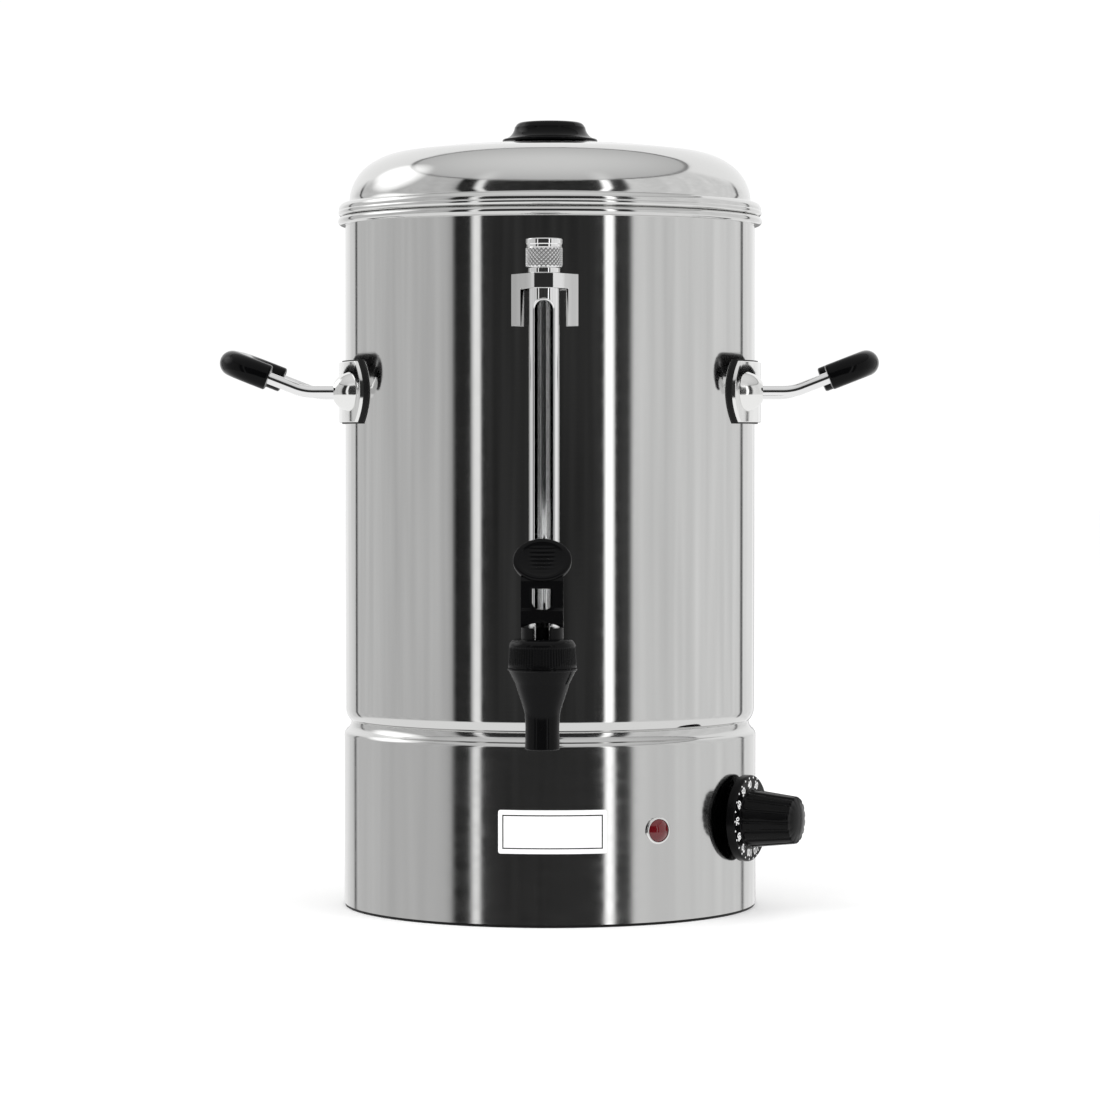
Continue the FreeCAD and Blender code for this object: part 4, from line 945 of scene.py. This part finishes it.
def make_handles():
    """Plate, gasket, rod and grip of both side handles."""
    tilted = (-math.sin(slope), 0, math.cos(slope))
    bar = tube(handle_path(rod_start_x, handle_z, [knee_r, corner_r, corner_r, knee_r]), rod_r, 32, tilted)
    sleeve = handle_path(bar_x - grip_sleeve * math.cos(slope),
                         handle_z + bar_rise - grip_sleeve * math.sin(slope), [corner_r, corner_r], False)
    steps = np.linalg.norm(np.diff(sleeve, axis=0), axis=1)
    place = np.concatenate([[0], np.cumsum(steps)])
    end_round = grip_end_round
    near = end_round * (1 - np.cos(np.linspace(0, np.pi / 2, 6)))
    inner = place[(place > end_round * 1.2) & (place < place[-1] - end_round * 1.2)]
    station = np.concatenate([near, inner, place[-1] - near[::-1]])
    path = np.stack([np.interp(station, place, sleeve[:, i]) for i in range(3)], axis=1)
    from_end = np.minimum(np.minimum(station, place[-1] - station), end_round)
    radius = grip_r - end_round + np.sqrt(end_round ** 2 - (end_round - from_end) ** 2)
    grip = tube(path, radius, 48, tilted)
    plate = bowed_plate(0, gasket_out_r, plate_out_r, 0.5)
    gasket = bowed_plate(gasket_margin, tank_r, gasket_out_r, 0.3)
    for hand, turn in (("right", lambda grid: grid), ("left", flipped)):
        shells = [(turn(plate), False), (turn(plate_boss(-1)), False), (turn(plate_boss(1)), False)]
        made("urn", "polished_plate", shells, "handle_plate_" + hand)
        made("urn", "black_rubber", [(turn(gasket), False)], "handle_gasket_" + hand)
        made("urn", "chrome_rod", [(turn(bar), False)], "handle_rod_" + hand)
        made("urn", "black_grip", [(turn(grip), False)], "handle_grip_" + hand)


# Sight gauge

def make_gauge():
    """Shield tube with its round-ended slot, glass tube, knurled cap and folded bracket."""
    low, high = levels("gauge_shield")
    in_r = shield_r - shield_wall
    wall = [(in_r, low), (shield_r, low), (shield_r, high), (in_r, high)]
    shield = loose("gauge_shield", closed_mesh("gauge_shield", [(turned(wall, 96, step=30.0), True)]))
    half = slot_width / 2
    slot = trace([(-half, slot_low_z + half), (0, slot_low_z, half, slot_low_z + half),
                  (half, slot_high_z - half), (0, slot_high_z, -half, slot_high_z - half)])
    cut(shield, [through(slot, -20, 0)])
    mid_r = shield_r - shield_wall / 2
    lip_x = slot[:, 0] * (half - 0.15) / half
    lip = np.column_stack([lip_x, -np.sqrt(mid_r ** 2 - lip_x ** 2), slot[:, 1]])
    lip = tube(np.concatenate([lip, lip[:2]]), slot_lip_r, 16, (0, -1, 0))
    shield.data = joined("gauge_shield", [shield.data, closed_mesh("lip", [(lip, False)])])
    shield.data.transform(Matrix.Translation((0, gauge_y * MM, 0)))
    dressed(eased(shield, 0.15, 2), "urn", "chrome_fitting", "gauge_shield")

    low, high = levels("gauge_glass")
    wall = [(glass_in_r, low), (glass_out_r, low), (glass_out_r, high), (glass_in_r, high)]
    made("urn", "clear_glass", [(shift(turned(wall, 64, step=30.0), y=gauge_y), True)], "gauge_glass")
    make_gauge_cap()
    eased_solid("gauge_bracket", 0.35, "urn", "chrome_fitting")
    for node in ("gauge_neck_nut", "gauge_block"):
        eased_solid(node, 0.3, "urn", "chrome_fitting")


def make_gauge_cap():
    """The screw cap turned from its skin and its bore: a knurled band, a groove and a flat rim."""
    low, top = levels("gauge_cap")
    band_low, band_high = low + 0.6, top - 5.3

    def knurled(r, z, a):
        """Diamonds: the depth of the shallower of two sets of slanting grooves."""
        one = np.abs(np.sin(knurl_diamonds * a / 2 + z * knurl_slant))
        two = np.abs(np.sin(knurl_diamonds * a / 2 - z * knurl_slant))
        inside = (z > band_low) & (z < band_high) & (r > cap_r - 0.05)
        return r - np.where(inside, knurl_depth * (1 - np.minimum(one, two)), 0)

    outline = [
        (cap_bore_r, low), (cap_r - 0.4, low), (cap_r - 0.3, low + 0.4), (cap_r, low + 0.7),
        (cap_r, top - 5.2), (cap_r - 0.5, top - 4.5), (cap_r - 0.5, top - 3.3), (cap_r - 0.1, top - 2.8),
        (cap_r - 0.1, top - 0.8), (cap_r - 0.3, top - 0.2, cap_r - 0.9, top), (0, top)]
    inside = [(0, top - cap_roof), (cap_bore_r, top - cap_roof), (cap_bore_r, low)]
    skin = turned(outline, 408, closed=False, step=0.22, shaped=knurled)
    bore = turned(inside, 408, closed=False, step=8.0)
    shell = shift(np.concatenate([skin, bore[:-1]]), y=gauge_y)
    cap = made("gauge_cap", "chrome_fitting", [(shell, True)], "gauge_cap", look=knurled_chrome_painted_shade)
    # The knurl map gives each corner its depth in the grooves, which the finish turns into painted shade and
    # more roughness
    spots = corner_places(cap.data) - np.array([0, gauge_y, 0])
    r = np.hypot(spots[:, 0], spots[:, 1])
    band = (spots[:, 2] > band_low) & (spots[:, 2] < band_high) & (r > cap_r - 1)
    sunk = np.where(band, np.clip((cap_r - r) / knurl_depth, 0, 1), 0)
    own_map(cap.data, "knurl", sunk, sunk * 0)


# Tap

def make_tap_body():
    """The tap's tapering spout and flange, turned, and its round boss towards the tank."""
    top = levels("tap_body")[1]
    outline = [
        (6.4, 99.9), (6.6, 99.55, 6.9, 99.4), (8.6, 99.4), (8.95, 99.55, 9.1, 99.9), (9.0, 103.4),
        (8.85, 108, 9.35, 118.6), (10.4, 122.2, 11.45, 125.4), (12.9, 129.8, 14.15, 133.7),
        (flange_r - 0.6, flange_z - 1.3), (flange_r - 0.1, flange_z - 0.9, flange_r, flange_z - 0.5),
        (flange_r, flange_z), (collar_r, flange_z), (collar_r, top), (9.5, top), (9.5, 127), (6.4, 127)]
    spout = shift(turned(outline, 192), y=tap_y)
    cone = np.array([(9.1, 99.4), (9.35, 118.6), (11.45, 125.4), (14.15, 133.7), (17.5, 140.4), (17.5, 160)])
    a = np.arange(96) * (TURN / 96)
    x = boss_out_r * np.cos(a)
    z = np.minimum(shank_z + boss_out_r * np.sin(a), flange_z)
    reach = np.interp(z, cone[:, 1], cone[:, 0]) - 1.0
    start = tap_y + np.sqrt(np.clip(reach ** 2 - x ** 2, 0, None))
    stations = (start, np.full_like(x, washer_y - 0.3), np.full_like(x, washer_y))
    boss = np.array([np.stack([x, y, z], axis=-1) for y in stations])
    made("urn", "black_gloss", [(spout, True), (boss, False)], "tap_body")


def make_bonnet():
    """The bonnet, turned: fine upright ribs on its side, a rounded shoulder, and a notched neck."""
    low, top, neck_top = bonnet_low_z, bonnet_top_z, bonnet_neck_top_z
    foot_r = flange_r - 0.2

    def ribbed(r, z, a):
        """Ribs that fade out near the foot and on the shoulder."""
        side = np.clip((z - low - 1.2) / 0.8, 0, 1) * np.clip((top - 3.4 - z) / 1.5, 0, 1)
        return r - 0.32 * side * (0.5 + 0.5 * np.cos(bonnet_ribs * a)) * (r > 16)

    outline = [
        (collar_r + 0.05, low), (foot_r - 0.3, low), (foot_r - 0.05, low + 0.1, foot_r, low + 0.4),
        (bonnet_top_r, top - 4.5), (bonnet_top_r - 1.0, top - 1.2, 12.5, top), (bonnet_neck_r, top),
        (bonnet_neck_r, neck_top), (3.6, neck_top), (3.6, top - 3), (11.0, top - 3), (11.0, 148.0),
        (collar_r + 0.05, 148.0)]
    grid = shift(turned(outline, 576, step=0.8, shaped=ribbed), y=tap_y)
    bonnet = loose("tap_bonnet", closed_mesh("tap_bonnet", [(grid, True)]))
    half = bonnet_notch_w / 2
    notch = [(tap_y - 20, top), (tap_y + 20, top), (tap_y + 20, top + 12), (tap_y - 20, top + 12)]
    cut(bonnet, [prism(notch, -half, half)])
    dressed(bonnet, "urn", "black_gloss", "tap_bonnet")


def thumb_pad():
    """The oval pad in its own plane, then leaned back: rounded rim, a round dish, level ridges in it.

    Rows run from the back's middle over the rim to the front's middle; a point is
    (rho a cos t, rho b sin t, height), and in the dish the height falls as a ball's would.
    """
    turn = np.arange(160) * (TURN / 160)
    soft = 1.3
    bend = np.linspace(0, np.pi / 2, 7)
    inset = np.concatenate([[pad_h / 2], soft * (1 - np.sin(bend)), soft * (1 - np.cos(bend))])
    height = np.concatenate([[0.0], soft * (1 - np.cos(bend)), pad_thick - soft + soft * np.sin(bend)])
    dish_r = pad_h / 2 - 2.3
    front = np.concatenate([[1.9], 2.3 + dish_r * (1 - np.linspace(1, 0, 44))])
    inset = np.concatenate([inset, front])
    height = np.concatenate([height, np.full(len(front), pad_thick)])
    away = np.clip(pad_h / 2 - inset, 0, None)
    x = (away[:, None] + (pad_w - pad_h) / 2 * (away[:, None] / (pad_h / 2))) * np.cos(turn)
    y = away[:, None] * np.sin(turn)
    z = np.repeat(height[:, None], len(turn), axis=1)
    within = np.clip(1 - (away / dish_r) ** 2, 0, 1)[:, None]
    dish = np.where(np.arange(len(away))[:, None] > 14, within, 0)
    ridge = np.clip(1 - (np.abs(x) / 7.6) ** 4, 0, 1) * np.clip(1 - (np.abs(y) / 7.8) ** 6, 0, 1)
    wave = 0.5 + 0.5 * np.cos(TURN * y / 2.4)
    z = z - pad_dish * dish ** 0.8 + 0.45 * ridge * wave * dish
    c, s = math.cos(math.pi / 2 - pad_lean), math.sin(math.pi / 2 - pad_lean)
    back = tap_y + pad_back
    return np.stack([x, y * c - z * s + back, y * s + z * c + pad_z], axis=-1)


def make_lever():
    """The lever: hub and two uprights cut from a side outline, window, slot, arch, and the thumb pad."""
    low = lever_low_z
    top = lever_hub_top_z
    half = lever_w / 2
    shank_top = pad_z - pad_h / 2 + 5
    hub = [
        (tap_y - 9, low + 2), (tap_y - 7, low), (tap_y + 5, low), (tap_y + 7, low + 2),
        (tap_y + 7, top - 1.5), (tap_y + 5.5, top), (tap_y - 2.4, top), (tap_y - 2.4, shank_top + 3),
        (tap_y - 6.4, shank_top), (tap_y - 7.4, shank_top - 2), (tap_y - 7.4, top + 1.5), (tap_y - 9, top)]
    body = loose("tap_lever", closed_mesh("tap_lever", [(prism(hub, -half, half), False)]))
    arch = turned([(0, 0), (lever_arch_r, 0), (lever_arch_r, 40), (0, 40)], 192, closed=False)
    slot_top = pivot_z + 5.3
    slot = [(tap_y - 8.2, low - 9), (tap_y + 5.0, low - 9), (tap_y + 5.0, slot_top), (tap_y - 8.2, slot_top)]
    sill = window_low_z + window_half * 0.6
    window = trace([(-window_half, window_high_z), (-window_half, sill),
                    (0, window_low_z - 0.6, window_half, sill), (window_half, window_high_z)])
    cut(body, [along_y(arch, tap_y - 20, low + 2.6 - lever_arch_r)],
        [prism(slot, -lever_slot_half, lever_slot_half)], [through(window, tap_y - 30, tap_y + 30)])
    eased(body, 0.6, 4)
    mesh = joined("tap_lever", [worked_out(body), closed_mesh("pad", [(thumb_pad(), False)])])
    body.modifiers.clear()
    body.data = smoothed(mesh, 45)
    dressed(body, "tap_lever", "black_gloss", "tap_lever")


# Thermostat knob, lamp and label

def make_thermostat_knob():
    """The dial disc and the tapering grip with upright flutes, built along Z and laid outward."""
    front = dial_back + dial_thick
    end = front + knob_grip_length
    flat_r = knob_end_r - knob_end_round
    dial = [
        (0, dial_back), (dial_r - 0.4, dial_back), (dial_r, dial_back + 0.4), (dial_r, front - 1.6),
        (dial_r - 0.45, front - 0.45, dial_r - 1.6, front), (0, front)]
    grip = [
        (0, front - 1), (knob_grip_r + 0.8, front - 1), (knob_grip_r + 0.8, front),
        (knob_grip_r + 0.2, front + 0.2, knob_grip_r, front + 0.8), (knob_end_r, end - knob_end_round),
        (knob_end_r - 0.35, end - 0.35, flat_r, end), dome(flat_r, knob_dome, end)]

    def fluted(r, z, a):
        """Round grooves: the part of a circle sunk below the skin at its angle."""
        share = TURN / flute_count
        arc = (a + share / 2) % share - share / 2
        depth = np.sqrt(np.clip(flute_r ** 2 - (arc * r) ** 2, 0, None)) - flute_r * 0.45
        side = (r > 11.5) & (z > front + 1.1)
        return r - np.where(side, np.clip(depth, 0, None), 0) * np.clip((z - front - 1.1) / 1.0, 0, 1)

    shells = [
        (outward(turned(dial, 192, closed=False), knob_azimuth, knob_z), False),
        (outward(turned(grip, 512, closed=False, step=1.0, shaped=fluted), knob_azimuth, knob_z), False)]
    made("thermostat_knob", "black_gloss", shells, "thermostat_knob", look=knob_black)


def make_dial_figures():
    """Numbers 30 to 110 round the dial, each with a dot outside it and a dot half way to the next."""
    front = dial_back + dial_thick
    meshes = []
    for count in range(9):
        text = bpy.data.curves.new("figure", "FONT")
        text.body = str(30 + 10 * count)
        text.size = figure_size
        text.align_x = "CENTER"
        text.align_y = "CENTER"
        text.extrude = figure_thick
        text.offset = 0.2
        thing = loose("figure", text)
        mesh = worked_out(thing)
        flat = np.array([v.co[:] for v in mesh.vertices])
        flat[:, 0] *= figure_narrow
        turn = math.radians(number_start + number_step * count)
        c, s = math.cos(turn), math.sin(turn)
        x = flat[:, 0] * c - flat[:, 1] * s - number_ring_r * s
        y = flat[:, 0] * s + flat[:, 1] * c + number_ring_r * c
        laid = outward(np.stack([x, y, flat[:, 2] + front], axis=-1), knob_azimuth, knob_z) * MM
        mesh.vertices.foreach_set("co", laid.ravel())
        meshes.append(mesh)
        bpy.data.objects.remove(thing)
    low, high = front - figure_thick, front + figure_thick
    dots = []
    for count in range(17):
        turn = math.radians(number_start + number_step * count / 2)
        dot = turned([(0, low), (dot_r, low), (dot_r, high), (0, high)], 16, closed=False)
        dot = shift(dot, -dot_ring_r * math.sin(turn), dot_ring_r * math.cos(turn))
        dots.append((outward(dot, knob_azimuth, knob_z), False))
    mesh = joined("dial_figures", meshes + [closed_mesh("dots", dots)], merge=1e-6)
    dressed(loose("urn_dial_figures", mesh), "thermostat_knob", "white_nylon", look=figure_white)


def make_lamp():
    """The pilot lamp's ring and its domed lens."""
    base = skirt_r
    rim = base + bezel_h
    ring = [
        (lamp_hole_r, base - 0.4), (bezel_r - 0.5, base - 0.4), (bezel_r, base), (bezel_r, rim - 0.6),
        (bezel_r - 0.18, rim - 0.18, bezel_r - 0.6, rim), (lens_r + 0.05, rim),
        (lens_r + 0.05, base + 0.2), (lamp_hole_r, base + 0.2)]
    made("urn", "bezel_chrome", [(outward(turned(ring, 96), lamp_azimuth, lamp_z), True)], "pilot_bezel")
    start = base + 0.25
    top = base + lens_step
    lens = [(0, start), (lens_r, start), (lens_r, top), dome(lens_r, lens_rise, top)]
    shell = outward(turned(lens, 96, closed=False), lamp_azimuth, lamp_z)
    made("urn", "red_lens", [(shell, False)], "pilot_lens")


def make_label():
    """The label plate: a thin rounded section across Z carried round the skirt, mapped in mm."""
    in_r = skirt_r + label_gap
    bend = np.linspace(0, np.pi / 2, 7)
    ends = label_w / 2 - label_corner * (1 - np.cos(bend[::-1]))
    drop = label_corner * (1 - np.sin(bend[::-1]))
    flat = label_w / 2 - label_corner
    s = np.concatenate([-ends[::-1], np.linspace(-flat, flat, 31)[1:-1], ends])
    tall = label_h / 2 - np.concatenate([drop[::-1], np.zeros(29), drop])
    r, z = plate_section(tall, in_r, in_r + label_thick, label_edge, 4)
    a = s[:, None] / skirt_r + math.radians(label_azimuth)
    grid = np.stack([r * np.sin(a), -r * np.cos(a), z + label_z], axis=-1)
    plate = made("urn", "white_label", [(grid, False)], "label_plate")
    spots = corner_places(plate.data)
    along = (np.arctan2(spots[:, 0], -spots[:, 1]) - math.radians(label_azimuth)) * skirt_r
    own_map(plate.data, "plate", along, spots[:, 2] - label_z)


def make_back():
    """The gland, cut-out nut and reset button at the back, and the tap's stem, edges eased."""
    eased_solid("cable_gland", 0.5, "urn", "black_plastic")
    eased_solid("cutout_nut", 0.3, "urn", "zinc_screw")
    eased_solid("reset_button", 0.3, "reset_button", "button_red")
    eased_solid("tap_stem", 0.25, "tap_stem", "black_gloss")


# Studio

def make_studio():
    """White studio. What metal mirrors is worked out from the direction's azimuth and height.

    Azimuth is 0 towards the camera and grows towards +X. The zone behind the camera is dark, with a
    narrow bright lamp on each side of it, then grey walls, a thin dark seam, and light cloth behind.
    Above the ceiling's edge there is a soft roof, with a dark seam in it and a glow over each lamp.
    """
    world = bpy.data.worlds.new("studio")
    bpy.context.scene.world = world
    world.use_nodes = True
    tree = world.node_tree
    tree.nodes.clear()
    way = add(tree, "ShaderNodeTexCoord").outputs["Generated"]
    x, y, z = parts_of(tree, way)
    azimuth = math_node(tree, "ARCTAN2", x, math_node(tree, "MULTIPLY", y, -1.0))
    place = math_node(tree, "MULTIPLY_ADD", azimuth, 1 / TURN, 0.5)
    bands = add(tree, "ShaderNodeValToRGB")
    dim, brightest = 0.28, 2.0
    lamp_azimuths = (-39.8, 34.4)
    ceiling, seam_at = 0.605, 0.625
    stops = [
        (-180, dim), (-173, dim), (-170, 0.98), (-152, 0.84), (-140.6, 0.74), (-139.6, 0.05),
        (-137.4, 0.05), (-136, 0.66), (-105, 0.62), (-58, 0.56), (-54.5, 0.46), (-53, 0.012),
        (-43, 0.018), (-41.6, 1.10), (-38, 1.10), (-36.6, 0.024), (0, 0.018), (31.4, 0.024), (32.6, 2.0),
        (36.2, 2.0), (37.4, 0.020), (46, 0.045), (48.5, 0.74), (90, 0.80), (135.6, 0.80), (136.8, 0.06),
        (139.0, 0.06), (140.4, 0.84), (160, 0.96), (170, 0.98), (173, dim)]
    ramp = bands.color_ramp
    for number, (degrees, value) in enumerate(stops):
        at = degrees / 360 + 0.5
        stop = ramp.elements[number] if number < 1 else ramp.elements.new(at)
        stop.position = at
        stop.color = (value / brightest, value / brightest, value / brightest, 1)
    ramp.elements[-1].color = ramp.elements[0].color
    feed(tree, bands.inputs[0], place)
    grain_place = add(tree, "ShaderNodeCombineXYZ")
    feed(tree, grain_place.inputs[0], math_node(tree, "MULTIPLY", place, 70.0))
    feed(tree, grain_place.inputs[1], math_node(tree, "MULTIPLY", z, 14.0))
    grain = noise(tree, grain_place.outputs[0], 3.0)
    soft = noise(tree, place, 3.0, 24.0, "W", "1D")
    ripple = math_node(tree, "MULTIPLY", spread(tree, soft, 0.92, 1.06), spread(tree, grain, 0.93, 1.05))
    walls = math_node(tree, "MULTIPLY", math_node(tree, "MULTIPLY", bands.outputs[0], ripple), brightest)
    walls = math_node(tree, "ADD", walls, spread(tree, grain, 0.0, 0.022))

    tilt = math_node(tree, "MULTIPLY_ADD", y, -0.158, z)
    from_seam = math_node(tree, "ABSOLUTE", math_node(tree, "SUBTRACT", tilt, seam_at))
    seam = math_node(tree, "SUBTRACT", 1.0, math_node(tree, "MULTIPLY", from_seam, 45.0), clamp=True)
    fade = ranged(tree, tilt, 0.62, 1.0, 0.56, 0.78)
    roof = math_node(tree, "SUBTRACT", fade, math_node(tree, "MULTIPLY", seam, 0.44))
    up = ranged(tree, tilt, 0.60, 0.88, 0.34, 0.0)
    for degrees in lamp_azimuths:
        away = math_node(tree, "ABSOLUTE", math_node(tree, "SUBTRACT", azimuth, math.radians(degrees)))
        share = math_node(tree, "SUBTRACT", 1.0, math_node(tree, "MULTIPLY", away, 6.0), clamp=True)
        roof = math_node(tree, "MULTIPLY_ADD", share, up, roof)

    far = ranged(tree, math_node(tree, "MULTIPLY_ADD", z, 1.2, y), 0.96, 1.10, 0.0, 1.0)
    sides = number_between(tree, far, walls, 0.98)
    above = ranged(tree, tilt, ceiling, ceiling + 0.007, 0.0, 1.0)
    below = ranged(tree, z, -0.22, -0.30, 0.0, 1.0)
    mirrored = number_between(tree, below, number_between(tree, above, sides, roof), 0.95)
    toward = add(tree, "ShaderNodeVectorMath", operation="DOT_PRODUCT")
    feed(tree, toward.inputs[0], way)
    toward.inputs[1].default_value = (-0.82, 0.30, 0.49)
    lamp = ranged(tree, toward.outputs["Value"], 0.93, 0.99, 0.0, 1.1)
    mirrored = math_node(tree, "ADD", mirrored, lamp)
    rays = add(tree, "ShaderNodeLightPath")
    plain = math_node(tree, "MAXIMUM", rays.outputs["Is Camera Ray"], rays.outputs["Is Diffuse Ray"])
    shown = number_between(tree, plain, mirrored, 1.04)
    back = add(tree, "ShaderNodeBackground")
    grey = add(tree, "ShaderNodeCombineColor")
    for socket in grey.inputs:
        feed(tree, socket, shown)
    feed(tree, back.inputs[0], grey.outputs[0])
    out = add(tree, "ShaderNodeOutputWorld")
    feed(tree, out.inputs[0], back.outputs[0])


def make_floor():
    """A pale floor that metal doesn't mirror, since the studio's own light stands for it."""
    reach = 12000.0
    corners = np.array([(-reach, -reach, 0), (reach, -reach, 0), (reach, reach, 0), (-reach, reach, 0)]) * MM
    mesh = bpy.data.meshes.new("floor")
    mesh.from_pydata(corners.tolist(), [], [(0, 1, 2, 3)])
    floor = loose("floor", mesh)
    material, tree, shader = finish("pale floor", Roughness=0.9, Specular_IOR_Level=0.0)
    mottle = placed_group(tree, mottle_group, Scale=3.0)
    feed(tree, shader.inputs["Base Color"], grey_between(tree, mottle.outputs["Cloud"], 0.98, 0.99))
    mesh.materials.append(material)
    floor.visible_glossy = False


def make_lights():
    """Two soft lamps, high on the left and on the right of the camera."""
    for name, place, size, power in (
            ("left_lamp", (-1.6, -1.8, 1.9), 1.2, 26.0), ("right_lamp", (1.7, -1.5, 1.6), 1.2, 18.0)):
        lamp = bpy.data.lights.new(name, "AREA")
        lamp.size = size
        lamp.energy = power
        thing = bpy.data.objects.new(name, lamp)
        bpy.context.scene.collection.objects.link(thing)
        aim = np.array([0, 0, 0.2]) - np.array(place)
        flat = math.hypot(aim[0], aim[1])
        thing.rotation_euler = (math.atan2(flat, -aim[2]), 0, math.atan2(-aim[0], aim[1]))
        thing.location = place
        thing.visible_glossy = False


def make_camera():
    """The photograph's viewpoint: far off, level with the tank's middle, looking slightly down."""
    distance, height, azimuth, pitch = 2.190, 0.261, math.radians(1.4), math.radians(1.63)
    lens = bpy.data.cameras.new("camera")
    lens.lens = 127.64
    lens.sensor_width = 36.0
    lens.sensor_fit = "HORIZONTAL"
    camera = bpy.data.objects.new("camera", lens)
    bpy.context.scene.collection.objects.link(camera)
    camera.location = (distance * math.sin(azimuth), -distance * math.cos(azimuth), height)
    camera.rotation_euler = (math.pi / 2 - pitch, 0, azimuth)
    bpy.context.scene.camera = camera


dress_solids()
make_tank()
make_skirt()
make_foot()
make_lid()
make_lid_knob()
make_handles()
make_gauge()
make_tap_body()
make_bonnet()
make_lever()
make_thermostat_knob()
make_dial_figures()
make_lamp()
make_label()
make_back()
make_studio()
make_floor()
make_lights()
make_camera()
bpy.context.scene.view_settings.view_transform = "Standard"

bpy.context.view_layer.update()
